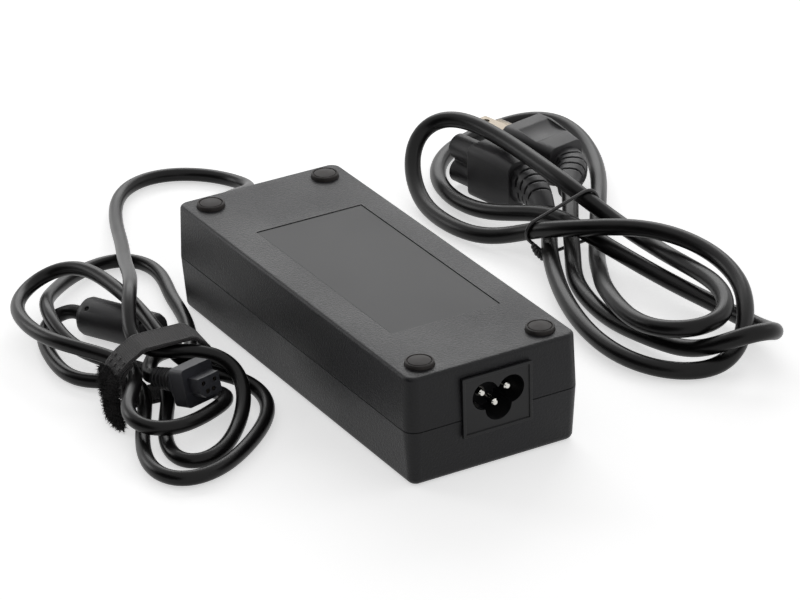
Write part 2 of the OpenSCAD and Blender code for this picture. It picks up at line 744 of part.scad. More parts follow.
// ---- Output lead
module output_strain_relief() {
    color("#1f1f21")
    translate([0, 0, relief_z]) {
        translate([-7, inner_y - 2 - lean_room, -6])
            cube([14, 2, 12]);
        translate([-5.5, inner_y - lean_room - eps, -4.5])
            cube([11, wall + lean_room + 2 * eps, 9]);
        translate([-6.5, face_y, -5.5])
            cube([13, 2, 11]);
        difference() {
            translate([0, face_y + 2, 0])
                rotate([-90, 0, 0])
                    cylinder(d1 = 10, d2 = output_cord_d + 2, h = relief_tip_y - face_y - 2);
            // Slots that let the boot bend
            for (i = [0:3], s = [-1, 1])
                translate([s * 5, face_y + 4.2 + 2.3 * i, 0])
                    cube([5.4, 1, 12], center = true);
        }
    }
}

module output_cord_run() {
    color("#252527")
        tube(dc_cord(), output_cord_d, 8, 0, run_rings);
}

module output_cord_hank() {
    p = dc_cord();
    echo(str("output lead, least gap between its strands: ", own_gap(p, output_cord_d), " mm"));
    color("#252527")
        tube(p, output_cord_d, 6, run_rings);
}

module output_cord_tail() {
    color("#252527")
        tube(tail_route(), output_cord_d, 8);
}

// Stands a piece on the choke's axis
module along(a, b) {
    v = b - a;
    translate(a)
        rotate([0, acos(v[2] / norm(v)), atan2(v[1], v[0])])
            children();
}
choke_l = norm(choke_b - choke_a);
ferrite_l = choke_l - 8;
ferrite_r = [3, 5.3];

module choke_cover() {
    color("#232325")
    along(choke_a, choke_b)
        difference() {
            rotate_extrude()
                difference() {
                    polygon([[0, 0], [choke_d / 2 - 2.6, 0], [choke_d / 2 - 0.6, 1.6],
                        [choke_d / 2, 3], [choke_d / 2, choke_l - 3],
                        [choke_d / 2 - 0.6, choke_l - 1.6], [choke_d / 2 - 2.6, choke_l],
                        [0, choke_l]]);
                    translate([ferrite_r[0], (choke_l - ferrite_l) / 2])
                        square([ferrite_r[1] - ferrite_r[0], ferrite_l]);
                }
            // Marks left by the pins that held the core in the mould
            for (z = [5, choke_l - 5], a = [130, 50])
                translate([0, 0, z])
                    rotate([0, 0, a + 90])
                        translate([choke_d / 2 - 0.9, 0, 0])
                            rotate([0, 90, 0])
                                cylinder(d = 1.7, h = 2);
        }
}

module choke_ferrite() {
    color("#55575a")
    along(choke_a, choke_b)
        rotate_extrude()
            translate([ferrite_r[0], (choke_l - ferrite_l) / 2])
                square([ferrite_r[1] - ferrite_r[0], ferrite_l]);
}

// The output plug stands on its own axis, from the end of its boot
plug_axis = norm(block_at - boot_at);
flare_l = 4.6;
block_l = plug_axis - boot_l - flare_l;
nose_w = 9;
nose_h = 6.9;
nose_l = 5.3;
contact_at = [[1.4, -2.45], [1.4, 2.45], [-1.6, -1.25], [-1.6, 1.25]];
contact_hole_d = 1.7;

module dc_plug_boot() {
    color("#232325")
    along(boot_at, block_at) {
        cylinder(d1 = 6.4, d2 = 7, h = boot_l);
        for (i = [0:4])
            translate([0, 0, 0.6 + i * (boot_l - 1) / 5])
                cylinder(d = 7.2 + 0.2 * i, h = 1.2);
    }
}

module dc_plug_block() {
    color("#2a2c31")
    along(boot_at, block_at) {
        hull() {
            translate([0, 0, boot_l])
                cylinder(d = 8.4, h = 0.2);
            translate([0, 0, boot_l + flare_l])
                linear_extrude(0.2)
                    round_rect(plug_block, plug_block, 1.4);
        }
        translate([0, 0, boot_l + flare_l])
            linear_extrude(block_l)
                round_rect(plug_block, plug_block, 1.4);
    }
}

module dc_plug_nose() {
    color("#2a2c31")
    along(boot_at, block_at)
        translate([0, 0, plug_axis])
            difference() {
                linear_extrude(nose_l)
                    polygon([[-nose_h / 2, -nose_w / 2], [nose_h / 2 - 2, -nose_w / 2],
                        [nose_h / 2, -nose_w / 2 + 2], [nose_h / 2, nose_w / 2],
                        [-nose_h / 2, nose_w / 2]]);
                for (q = contact_at)
                    translate([-q[0], q[1], 0.6])
                        cylinder(d = contact_hole_d, h = nose_l);
            }
}

module dc_plug_contacts() {
    color("#c9a24a")
    along(boot_at, block_at)
        for (q = contact_at)
            translate([-q[0], q[1], plug_axis + 0.6])
                difference() {
                    cylinder(d = contact_hole_d, h = nose_l - 1.6);
                    translate([0, 0, 0.8])
                        cylinder(d = contact_hole_d - 0.5, h = nose_l);
                }
}

// ---- Strap. The strands' places inside it, across and up
strap_bundle = [[-10, 4.6], [-10.3, 10.9], [-5, 16.5], [10.2, 17], [13, 14.5], [14.3, 10],
    [13.9, 4.6]];
strap_play = 0.7;
module strap_outline(grow) {
    hull()
        for (q = strap_bundle)
            translate(q)
                circle(output_cord_d / 2 + strap_play + grow, $fn = 32);
}
module strap_band(w, inner, outer) {
    translate([strap_at[0], strap_at[1], 0])
        rotate([90, 0, strap_turn])
            translate([0, 0, -w / 2])
                linear_extrude(w)
                    difference() {
                        strap_outline(outer);
                        strap_outline(inner);
                    }
}

module cable_strap() {
    color("#1d1d1e") {
        strap_band(strap_w, 0, strap_t);
        // The end that laps over the turn below it
        intersection() {
            strap_band(strap_w, strap_t - eps, 2 * strap_t);
            translate([strap_at[0] - 21, strap_at[1] - 12, 9])
                cube([16, 24, 9]);
        }
    }
}

module strap_pile() {
    color("#141414")
    loft(curve(pile_path, 4), [for (i = [0:12]) [pile_w, pile_t]], 0.5,
        [-sin(strap_turn), cos(strap_turn), 0]);
}

// Flattened tube: rounded sections [width, height] along a path, level across
function section(p, t, size, power, along) =
    let (side = len(along) > 0 ? along : unit([t[1], -t[0], 0]), up = unit(cross(side, t)))
    [for (a = [0:22.5:337.5]) p
        + side * size[0] / 2 * sign(cos(a)) * pow(abs(cos(a)), power)
        + up * size[1] / 2 * sign(sin(a)) * pow(abs(sin(a)), power)];
module loft(p, sizes, power, along = []) {
    f = frames(p);
    skin([for (i = [0:len(p) - 1]) section(p[i], f[i][0], sizes[i], power, along)]);
}

// ---- Mains lead
module at_connector() {
    translate(connector_at)
        rotate([0, 0, connector_turn])
            children();
}
module at_plug() {
    translate(plug_front)
        rotate([0, 0, plug_turn])
            children();
}
// Slab of a moulded body, drawn across its length
module slab(x, l, w, h, r, mid_y, mid_z) {
    translate([x, mid_y, mid_z])
        rotate([90, 0, 90])
            linear_extrude(l)
                round_rect(w, h, r);
}
connector_z = connector_h / 2;
// The connector lies on its side, so its sockets are turned a quarter
connector_pins = [for (q = inlet_pins)
    [connector_mid - q[1] - lobe_drop / 2, connector_z + q[0]]];
contact_d = 3.4;
contact_l = 9;

module mains_connector() {
    color("#2b2b2d")
    at_connector()
        difference() {
            union() {
                translate([0, connector_mid, connector_z])
                    rotate([90, 0, 90])
                        linear_extrude(connector_nose + 1)
                            rotate(90)
                                translate([0, lobe_drop / 2])
                                    lobes(0);
                hull() {
                    slab(connector_nose, 14, connector_w, connector_h, 3,
                        connector_mid, connector_z);
                    slab(connector_nose + 1, connector_l - connector_nose - 1.2,
                        connector_w - 3, connector_h - 3, 3, connector_mid, connector_z);
                }
                slab(connector_nose + 4, connector_l - connector_nose - 4,
                    connector_w - 3, connector_h - 3, 3, connector_mid, connector_z);
            }
            for (q = connector_pins)
                translate([-1, q[0], q[1]])
                    rotate([0, 90, 0])
                        cylinder(d = contact_d, h = 12);
        }
}

module connector_contacts() {
    color("#c9a24a")
    at_connector()
        for (q = connector_pins)
            translate([11 - contact_l, q[0], q[1]])
                rotate([0, 90, 0])
                    difference() {
                        cylinder(d = contact_d, h = contact_l);
                        translate([0, 0, -1])
                            cylinder(d = inlet_pin_d + 0.1, h = contact_l);
                    }
}

// Strain relief from a moulded body's rear face to the cord: from a to b,
// leaving along the body and arriving along the cord
function bent(a, ta, b, tb, n) = [for (i = [0:n]) let (t = i / n, t2 = t * t, t3 = t2 * t,
    d = norm(b - a))
    (2 * t3 - 3 * t2 + 1) * a + (t3 - 2 * t2 + t) * ta * d + (3 * t2 - 2 * t3) * b
        + (t3 - t2) * tb * d];
module relief(a, turn, b, next, w, h) {
    n = 12;
    p = bent(a, [cos(turn), sin(turn), 0], b, unit(next - b), n);
    f = frames(p);
    end_d = mains_cord_d + 1.6;
    difference() {
        loft(p, [for (i = [0:n]) let (t = i / n) [w + (end_d - w) * t, h + (end_d - h) * t]], 0.8);
        // Slots in two staggered rows on either side
        for (i = [0:3], row = [0, 1]) {
            k = 2 + 2 * i + row;
            s = 1 - k / n;
            core_w = (end_d + (w - end_d) * s) - 2.6;
            core_h = (end_d + (h - end_d) * s) - 2.6;
            translate(p[k])
                rotate([0, 0, atan2(f[k][0][1], f[k][0][0])])
                    rotate([0, asin(-f[k][0][2]), 0])
                        difference() {
                            translate([-0.5, -w, row == 0 ? 0.7 : -h])
                                cube([1, 2 * w, h - 0.7]);
                            cube([3, core_w, core_h], center = true);
                        }
        }
    }
}

module connector_relief() {
    color("#232325")
    relief(local(connector_at, connector_turn, connector_l, connector_mid, connector_z),
        connector_turn, connector_end, mains_start[1], 12.5, 15);
}

module mains_cord() {
    p = mains_cord_pts();
    echo(str("mains lead, least gap between its strands: ", own_gap(p, mains_cord_d), " mm"));
    color("#252527")
        tube(p, mains_cord_d, 6);
}

blade_l = 16.5;
blade_w = 6.35;
blade_t = 1.5;
blade_pitch = 12.7;
blade_y = 4.6;
ground_drop = 11.9;
ground_d = 4.75;
ground_root_d = 3.6;        // the part of the pin inside the moulding
ground_l = 20;

module mains_plug() {
    color("#2b2b2d")
    at_plug()
        difference() {
            union() {
                hull() {
                    slab(0, 0.4, plug_w - 1.2, plug_h - 1.2, 3, plug_mid, plug_h / 2);
                    slab(0.8, 6, plug_w, plug_h, 3, plug_mid, plug_h / 2);
                    slab(plug_l - 6, 6, plug_w - 5, plug_h - 5, 3, plug_mid, plug_h / 2);
                }
            }
            // Finger grip: a hollow behind a lip, on both broad faces
            for (s = [0, 1])
                translate([plug_l * 0.58, plug_mid, s * plug_h])
                    rotate([90, 0, 0])
                        scale([1, 1, 1])
                            translate([0, s == 0 ? -14.4 : 14.4, 0])
                                cylinder(r = 16.4, h = plug_w - 6, center = true);
            // Seats of the blades and the ground pin
            for (s = [-1, 1])
                translate([-1, blade_y - blade_w / 2, plug_h / 2 + s * blade_pitch / 2 - blade_t / 2])
                    cube([7, blade_w, blade_t]);
            translate([-1, blade_y + ground_drop, plug_h / 2])
                rotate([0, 90, 0])
                    cylinder(d = ground_root_d, h = 7);
        }
}

module plug_relief() {
    color("#232325")
    relief(local(plug_front, plug_turn, plug_l, plug_mid, 10.1), plug_turn, plug_end,
        mains_finish[2], 13, 12);
}

module plug_blades() {
    color("#d8dadc")
    at_plug()
        for (s = [-1, 1])
            translate([-blade_l, blade_y - blade_w / 2,
                    plug_h / 2 + s * blade_pitch / 2 - blade_t / 2])
                difference() {
                    cube([blade_l + 6, blade_w, blade_t]);
                    translate([3.5, blade_w / 2, -1])
                        cylinder(d = 3.1, h = 4);
                }
}

module plug_ground_pin() {
    color("#d8dadc")
    at_plug()
        translate([-ground_l, blade_y + ground_drop, plug_h / 2])
            rotate([0, 90, 0]) {
                cylinder(d1 = ground_d - 1.6, d2 = ground_d, h = 1.2);
                translate([0, 0, 1.2])
                    cylinder(d = ground_d, h = ground_l - 1.2);
                translate([0, 0, ground_l])
                    cylinder(d = ground_root_d, h = 6);
            }
}

// Twisted wire tie: half size of its ring across and up, and its middle
tie_half = [17.1, 10.2];
tie_mid = [0.1, 11];
tie_r = 6;
function tie_ring() = [for (q = [[-1, 1], [1, 1], [1, -1], [-1, -1]], a = [0:3])
    let (turn = (q == [-1, 1] ? 180 : q == [1, 1] ? 90 : q == [1, -1] ? 0 : -90) - 30 * a)
    tie_pt(tie_mid[0] + q[0] * (tie_half[0] - tie_r) + tie_r * cos(turn), 0,
        tie_mid[1] + q[1] * (tie_half[1] - tie_r) + tie_r * sin(turn))];
module twist_tie() {
    color("#1a1a1a")
    tube(concat([tie_pt(-17.4, -4.6, 1.1), tie_pt(-18.3, -3.2, 3.4), tie_pt(-18.2, -1.2, 7.5)],
        tie_ring(), [tie_pt(-16.7, -2.8, 4), tie_pt(-15.6, -4.2, 1.4)]), tie_d, 8);
}

label_shell();
plain_shell();
rating_label();
cover_screws();
rubber_foot(1);  // rubber_foot_1
rubber_foot(2);  // rubber_foot_2
rubber_foot(3);  // rubber_foot_3
rubber_foot(4);  // rubber_foot_4
inlet_body();
inlet_live_pin();
inlet_neutral_pin();
inlet_earth_pin();
circuit_board();
fuse();
x_capacitor();
line_choke_core();
line_choke_winding();
bridge_rectifier();
bulk_capacitor();
primary_heat_sink();
switch_transistor();
transformer_core();
transformer_winding();
optocoupler();
secondary_heat_sink();
rectifier_diode();
output_capacitor(1);  // output_capacitor_1
output_capacitor(2);  // output_capacitor_2
output_capacitor(3);  // output_capacitor_3
output_strain_relief();
output_cord_run();
output_cord_hank();
output_cord_tail();
choke_cover();
choke_ferrite();
dc_plug_boot();
dc_plug_block();
dc_plug_nose();
dc_plug_contacts();
cable_strap();
strap_pile();
mains_connector();
connector_relief();
connector_contacts();
mains_cord();
mains_plug();
plug_relief();
plug_blades();
plug_ground_pin();
twist_tie();
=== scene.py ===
"""Laptop power adapter: camera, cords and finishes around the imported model."""

import math
from contextlib import contextmanager

import bmesh
import bpy
import numpy as np
from mathutils import Matrix, Vector


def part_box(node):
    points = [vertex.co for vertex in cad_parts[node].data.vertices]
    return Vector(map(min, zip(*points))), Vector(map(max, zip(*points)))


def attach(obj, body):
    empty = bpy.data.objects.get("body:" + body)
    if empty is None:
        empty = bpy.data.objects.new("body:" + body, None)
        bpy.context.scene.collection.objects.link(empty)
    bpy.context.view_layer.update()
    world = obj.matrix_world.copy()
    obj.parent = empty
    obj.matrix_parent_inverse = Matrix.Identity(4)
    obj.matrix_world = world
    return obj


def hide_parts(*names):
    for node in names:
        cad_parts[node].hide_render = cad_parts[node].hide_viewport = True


bl_info = {
    "name": "Laptop power adapter",
    "version": (1, 0, 0),
    "blender": (4, 5, 0),
    "location": "View3D > Sidebar > Adapter",
    "description": "Cords, mouldings, strap and finishes of a laptop power adapter",
    "category": "Object",
}

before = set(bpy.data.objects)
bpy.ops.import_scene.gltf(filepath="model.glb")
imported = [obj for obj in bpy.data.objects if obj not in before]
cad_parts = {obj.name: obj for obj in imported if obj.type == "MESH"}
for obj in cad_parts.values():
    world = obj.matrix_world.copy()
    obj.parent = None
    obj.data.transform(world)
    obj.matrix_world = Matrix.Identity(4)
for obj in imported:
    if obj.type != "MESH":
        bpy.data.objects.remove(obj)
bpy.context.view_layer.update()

# ---- Sizes in millimetres, unless a comment says otherwise

MM = 0.001
OUTPUT_D = 5.0
MAINS_D = 6.0

# The camera, in metres: its place, and the ways that are right and up in the picture
CAMERA_AT = (-0.586996, -1.061345, 0.621397)
CAMERA_RIGHT = (0.864779, -0.501521, -0.025183)
CAMERA_UP = (0.240812, 0.370183, 0.897203)
# Name, place, aim and size of each lamp in metres, and its share of the sky's power
LAMPS = (
    ("back_sky", (0.8, 1.42, 0.95), (0, 0, 0), (1.5, 0.8), 1),
    ("left_fill", (-0.4, 0.5, 0.22), (-0.03, 0.08, 0.02), (0.25, 0.25), 0.06),
    ("right_fill", (1.3, -0.4, 1.0), (0, 0, 0), (0.7, 0.7), 0.1),
)
TABLE_HALF, TABLE_DROP = 6.0, 0.0002  # metres; the drop keeps it off the lowest faces
TABLE_GLOW = 0.57
CARD_X, CARD_Y, CARD_Z = -0.8, 0.9, (0.02, 0.9)  # metres

FEET = [f"rubber_foot_{i}" for i in range(1, 5)]
# A foot's pad, the groove round it and its rim: shares of its radius, mm down
FOOT_RING = (
    (0.74, 0.0), (0.78, 0.08), (0.8, 0.4), (0.845, 0.4), (0.86, 0.1), (0.89, 0.0),
    (0.93, 0.02), (0.98, 0.2), (1.0, 0.55),
)

# Parts inside: material, both colours, roughness, grain and its depth, patch, nodes
INNER_PARTS = (
    ("solder_mask", "#1f5a34", "#296b40", 0.35, 1.2, 0.01, 6, ("circuit_board",)),
    ("fuse_case", "#5a2b1a", "#6a3622", 0.5, 0.4, 0.01, 5, ("fuse",)),
    ("capacitor_case", "#c79a2e", "#d4a838", 0.45, 0.4, 0.01, 6, ("x_capacitor",)),
    ("ferrite", "#2b2b2d", "#3a3a3c", 0.7, 0.3, 0.02, 6, (
        "line_choke_core", "transformer_core", "choke_ferrite",
    )),
    ("epoxy_package", "#161617", "#202021", 0.5, 0.3, 0.01, 5, (
        "bridge_rectifier", "switch_transistor", "optocoupler", "rectifier_diode",
    )),
    ("shrink_sleeve", "#1b2440", "#242f52", 0.3, 0.6, 0.005, 8, (
        "bulk_capacitor", "output_capacitor_1", "output_capacitor_2", "output_capacitor_3",
    )),
    ("winding_tape", "#b8952c", "#c9a63a", 0.35, 1.0, 0.02, 5, ("transformer_winding",)),
)

# ---- Colours and nodes


def linear(code):
    """An sRGB hex colour, or a colour setting, as linear red, green, blue and alpha."""
    if not isinstance(code, str):
        return list(code)
    parts = [int(code[i : i + 2], 16) / 255 for i in (1, 3, 5)]
    return [
        c / 12.92 if c <= 0.04045 else ((c + 0.055) / 1.055) ** 2.4 for c in parts
    ] + [1.0]


def add(tree, kind, inputs=None, **settings):
    """A new node with its settings; an input is a value or another node's output."""
    made = tree.nodes.new(kind)
    for name, value in settings.items():
        setattr(made, name, value)
    for name, value in (inputs or {}).items():
        socket = made.inputs[name]
        if isinstance(value, bpy.types.NodeSocket):
            tree.links.new(value, socket)
        else:
            socket.default_value = value
    return made


def maths(tree, operation, *values):
    """The output of a maths node whose values are numbers or outputs."""
    return add(tree, "ShaderNodeMath", dict(enumerate(values)), operation=operation).outputs[0]


def noise(tree, point, size, detail, **more):
    """The output of a noise texture whose features are size mm across."""
    inputs = {"Vector": point, "Scale": 1 / (size * MM), "Detail": detail, **more}
    return add(tree, "ShaderNodeTexNoise", inputs).outputs["Fac"]


def ramp(tree, value, base, other, low=0.0, high=1.0):
    """A colour that goes from base to other while a value goes from low to high."""
    made = add(tree, "ShaderNodeValToRGB", {"Fac": value})
    for i, (at, colour) in enumerate(((low, base), (high, other))):
        made.color_ramp.elements[i].position = at
        made.color_ramp.elements[i].color = linear(colour)
    return made.outputs["Color"]


def spread_out(tree, value, low, high, start=0.0, end=1.0):
    """A value between start and end, brought to between low and high."""
    inputs = {"Value": value, "From Min": start, "From Max": end, "To Min": low, "To Max": high}
    return add(tree, "ShaderNodeMapRange", inputs).outputs["Result"]


def bumped(tree, height, depth, **more):
    """A normal that follows a height of up to depth mm."""
    inputs = {"Height": height, "Distance": depth * MM, **more}
    return add(tree, "ShaderNodeBump", inputs).outputs["Normal"]


def looked_at(tree):
    """1 for what a camera, glossy or transmission ray sees, 0 for the rest."""
    path = add(tree, "ShaderNodeLightPath").outputs
    seen = maths(tree, "MAXIMUM", path["Is Camera Ray"], path["Is Glossy Ray"])
    return maths(tree, "MAXIMUM", seen, path["Is Transmission Ray"])


def blank(name):
    """An empty material with its tree, its output and its coordinates."""
    mat = bpy.data.materials.new(name)
    mat.use_nodes = True
    tree = mat.node_tree
    tree.nodes.clear()
    out = add(tree, "ShaderNodeOutputMaterial")
    place = add(tree, "ShaderNodeTexCoord").outputs
    return mat, tree, out, place


def shaded(tree, out, kind, inputs):
    """A shader with these inputs, put on the material's output."""
    shader = add(tree, kind, inputs)
    tree.links.new(shader.outputs[0], out.inputs["Surface"])


def grained(
    name, base, other, rough, grain, depth, spread=0.08, patch=30, specular=0.5, ease=0.25
):
    """Moulded surface: fine pits grain mm apart and depth mm deep, colour between
    base and other in patches patch mm across, and nearer base in the pits as painted
    shade, roughness varying by spread, and edges that look rounded by ease mm."""
    mat, tree, out, place = blank(name)
    fine = noise(tree, place["Object"], grain, 3.0, Roughness=0.6)
    wide = noise(tree, place["Object"], patch, 2.0)
    # The colour follows the pits as well as the patches: the darker base colour in the pits is
    # painted shade
    half = maths(tree, "MULTIPLY", maths(tree, "ADD", fine, wide), 0.5)
    edges = add(tree, "ShaderNodeBevel", {"Radius": ease * MM}, samples=6).outputs["Normal"]
    inputs = {
        "Base Color": ramp(tree, half, base, other, 0.38, 0.62),
        "Roughness": spread_out(tree, half, rough - spread, rough + spread, 0.35, 0.65),
        "Normal": bumped(tree, fine, depth, Normal=edges),
        "Specular IOR Level": specular,
    }
    shaded(tree, out, "ShaderNodeBsdfPrincipled", inputs)
    return mat


def metal(name, base, other, rough):
    """Plated or drawn metal, with faint lines along Z that are a quarter millimetre
    apart and 12 times as long."""
    mat, tree, out, place = blank(name)
    inputs = {"Vector": place["Object"], "Scale": (1, 1, 1 / 12)}
    drawn = add(tree, "ShaderNodeMapping", inputs).outputs[0]
    marks = noise(tree, drawn, 0.25, 2.0)
    inputs = {
        "Base Color": ramp(tree, marks, base, other),
        "Roughness": spread_out(tree, marks, rough * 0.6, rough * 1.5),
        "Metallic": 1.0,
    }
    shaded(tree, out, "ShaderNodeBsdfPrincipled", inputs)
    return mat


def jacket():
    """Soft PVC jacket: satin black, with faint waves in its gloss and fine dust."""
    if "pvc_jacket" in bpy.data.materials:
        return bpy.data.materials["pvc_jacket"]
    mat, tree, out, place = blank("pvc_jacket")
    dust = noise(tree, place["Object"], 0.5, 2.0)
    waves = noise(tree, place["Object"], 14, 3.0)
    inputs = {
        "Base Color": ramp(tree, waves, "#090809", "#141313", 0.35, 0.7),
        "Roughness": spread_out(tree, waves, 0.27, 0.38),
        "Normal": bumped(tree, dust, 0.006),
        "Specular IOR Level": 0.22,
    }
    shaded(tree, out, "ShaderNodeBsdfPrincipled", inputs)
    return mat


def woven(name, base, other, pitch, depth):
    """Knitted tape: stitches pitch mm apart in slanting rows, along the piece's UV map."""
    mat, tree, out, place = blank(name)
    flat = add(tree, "ShaderNodeUVMap", uv_map="along").outputs[0]
    parts = add(tree, "ShaderNodeSeparateXYZ", {"Vector": flat}).outputs
    turn = 2 * math.pi / (pitch * MM)
    waves = []
    for way in ("ADD", "SUBTRACT"):
        slant = maths(tree, way, parts["X"], parts["Y"])
        waves.append(maths(tree, "SINE", maths(tree, "MULTIPLY", slant, turn)))
    stitches = maths(tree, "MULTIPLY", *waves)
    loops = noise(tree, place["Object"], 0.35, 2.0)
    mixed = maths(tree, "MULTIPLY_ADD", stitches, 0.4, loops)
    inputs = {
        "Base Color": ramp(tree, mixed, base, other, 0.25, 0.85),
        "Roughness": 0.85,
        "Normal": bumped(tree, mixed, depth),
        "Sheen Weight": 0.25,
    }
    shaded(tree, out, "ShaderNodeBsdfPrincipled", inputs)
    return mat


# ---- Routes of the two leads, in millimetres


STRAP_AT, STRAP_TURN = (-69, 23, 0), -5.7
TIE_AT = (104, 43)


def turned_point(at, turn, x, y, z):
    """Point x along, y across and z above a place that is turned by some degrees."""
    t = math.radians(turn)
    return (
        at[0] + x * math.cos(t) - y * math.sin(t),
        at[1] + x * math.sin(t) + y * math.cos(t),
        at[2] + z,
    )


def strap_pt(u, v, z):
    """Point in the strap: u across the bundle, v along it."""
    return turned_point(STRAP_AT, STRAP_TURN, u, v, z)


def tie_pt(u, v, z):
    """Point in the wire tie's ring: u across the bundle, v along it."""
    return (TIE_AT[0] + u, TIE_AT[1] + v, z)


OUTPUT_GAP, MAINS_GAP = 0.9, 1.7  # what settling aims for between strands
LEAST_GAP, OFF_TABLE = 0.3, 0.1  # what smoothing leaves between strands, and below them
SETTLING, SMOOTHING = 60, 40  # rounds
EVEN_STEP = 4.0  # between a settled cord's points
CORD_RUN = [
    (0, 94, 19.5), (0, 100, 19.3), (3, 111, 17.8), (13, 124, 13), (25, 136, 7.5),
    (31, 149, 3.4), (27, 161, 2.6), (17, 171, 2.6), (5, 175, 2.6), (-8, 170, 2.6),
    (-18, 157, 3), (-26, 141, 5), (-36, 117, 9), (-48, 90, 14.5), (-58, 66, 20),
    (-66, 50, 22.6), (-71, 39, 20), strap_pt(-5.5, 6, 14.9), strap_pt(1, 0, 15),
]
CHOKE_A = (-69.5, 78.5, 6.8)
CHOKE_B = (-54, 50, 6.8)
BOOT_AT = (-72.2, 17.5, 9.6)
BLOCK_AT = (-66.6, -3, 14.6)
# Each loop: from, to, way and pull on leaving, way and pull on returning, and the
# heights between. A way is in degrees from +X, a pull is in millimetres
OUTPUT_LOOPS = [
    (strap_pt(8, -6, 15.3), strap_pt(-0.5, -6, 4.3), -8, 46, -119, 118,
     (12.5, 8.5, 4.4, 2.6, 2.6, 2.6, 2.6, 3.2)),
    (strap_pt(-0.5, 6, 4.3), strap_pt(9, 6, 5.2), 132, 97, 58, 190,
     (6.4, 9.2, 4.5, 2.6, 2.6, 2.6, 3.2)),
    (strap_pt(8.5, -6, 4.3), strap_pt(-8.5, -6, 9.8), -36, 42, -130, 76,
     (4.6, 7.6, 8.3, 8.4, 8.8, 9.4)),
    (strap_pt(-8.5, 6, 9.8), strap_pt(6.5, 6, 12.6), 137, 69, 83, 138,
     (13, 12, 11.5, 10, 11, 14.5, 18, 17.5)),
    (strap_pt(10, -6, 9.9), strap_pt(-6.5, -6, 4.3), -12, 68, -121, 140,
     (6.5, 2.8, 2.6, 2.6, 2.6, 2.6, 2.6, 2.6, 3)),
    (strap_pt(-6.5, 6, 4.3), (-71.9, 82.9, 6.8), 174, 31, 120, 19,
     (2.8, 2.6, 2.6, 3)),
]
CORD_TAIL = [
    CHOKE_B, (-51.8, 46, 6.8), (-55, 39, 7.2), strap_pt(0.3, 6, 9.8),
    (-72.6, 22, 8.8), BOOT_AT,
]
PILE_PATH = [(-86.8, 23, 13), (-88.6, 19, 8), (-89.8, 14.5, 4), (-90.8, 11, 0.9)]
PILE_W, PILE_T = 12, 2.6
PILE_FOOT, TUFT_FOOT = 0.4, 0.05  # the lowest that its core and its tufts reach
TUFT_WIDTH, TUFT_TIP, TUFT_LEAN = 0.16, 0.03, 0.75  # radii at both ends; radians
TUFT_SEED = 7
FACE_X, FACE_Y = 26, 80  # lines that keep the output bundle off the brick
# Middles of the outer strands in the strap, across and up
STRAP_BUNDLE = (
    (-10, 4.6), (-10.3, 10.9), (-5, 16.5), (10.2, 17), (13, 14.5), (14.3, 10), (13.9, 4.6),
)
STRAP_PLAY = 0.7
STRAP_W, STRAP_T = 12.4, 1.4
STRAP_STEP = 0.8  # between the tape's sections
STRAP_START, STRAP_LAP = 23, 8.5  # where the tape starts round its ring, and its overlap
PAD_ACROSS, PAD_PITCH = (-3.8, 0, 3.8), 2.1  # the pressed squares near its end
PAD_CORNERS = ((-1.1, -0.75), (1.1, -0.75), (1.1, 0.75), (-1.1, 0.75))
TIE_D = 1.3
TIE_AXIS = [tie_pt(-14.6, -1.1, 6.5), tie_pt(-14.4, -3.2, 4.2), tie_pt(-12.9, -5.2, 2.3)]
TIE_TURNS, TIE_WIND = 2.5, 0.68  # turns of the twisted ends, and their distance from the axis
CONNECTOR_AT, CONNECTOR_TURN = (95.6, 112.7, 0.1), -80
CONNECTOR_SIZE = (33, 17, 20.4)
CONNECTOR_END = (106, 60.5, 7.2)
PLUG_FRONT, PLUG_TURN = (117, 109.4, 0.1), -78.7
PLUG_SIZE = (24, 21, 20.2)
PLUG_END = (121.2, 69, 9.5)
MAINS_START = [CONNECTOR_END, (104.6, 55.6, 4.8), tie_pt(-4, 5, 3.2)]
MAINS_FINISH = [tie_pt(4, 5, 6), (113.5, 56, 7.5), (119, 64.5, 9), PLUG_END]
MAINS_LOOPS = [
    (tie_pt(-8.5, -5, 3.2), tie_pt(-10.5, -5, 9.9), -118, 185, -44, 146,
     (3.2, 3.2, 3.2, 3.2, 3.2, 6, 10, 14, 17, 17)),
    (tie_pt(-10.5, 5, 6.8), tie_pt(6.5, 5, 16), 150, 52, 91, 157,
     (3.2, 3.2, 3.2, 3.2, 6.5, 14, 19.5, 21.5, 21, 18)),
    (tie_pt(11.5, -5, 10.5), tie_pt(5.5, -5, 3.2), -82, 165, -128, 126,
     (7.2, 9.8, 10.9, 7.5, 5, 6.3, 5.3, 4.8, 5, 3.2)),
    (tie_pt(11.5, 5, 8.5), tie_pt(-4, 5, 10.2), 53, 180, 121, 121,
     (6.6, 8.4, 9, 7.5, 3.2, 3.2, 3.2, 3.2, 3.2, 3.7)),
    (tie_pt(-4, -5, 9), tie_pt(-1, -5, 3.2), -74, 210, -127, 106,
     (4, 6, 9, 12.5, 15.6, 10, 3.2, 3.2, 3.2, 3.2, 3.2)),
]


def run_along(p):
    """Distance along a line of points from its first to each of them."""
    return np.concatenate([[0], np.cumsum(np.linalg.norm(np.diff(p, axis=0), axis=1))])


def points_at(p, run, at):
    """Points of a line at these distances along it."""
    return np.stack([np.interp(at, run, p[:, k]) for k in range(p.shape[1])], 1)


def unit(v):
    """Vectors, one to a row, made 1 long."""
    return v / np.linalg.norm(v, axis=1)[:, None]


def smoothed(p):
    """A line's points between its ends, each drawn towards its neighbours."""
    return (p[:-2] + 2 * p[1:-1] + p[2:]) / 4


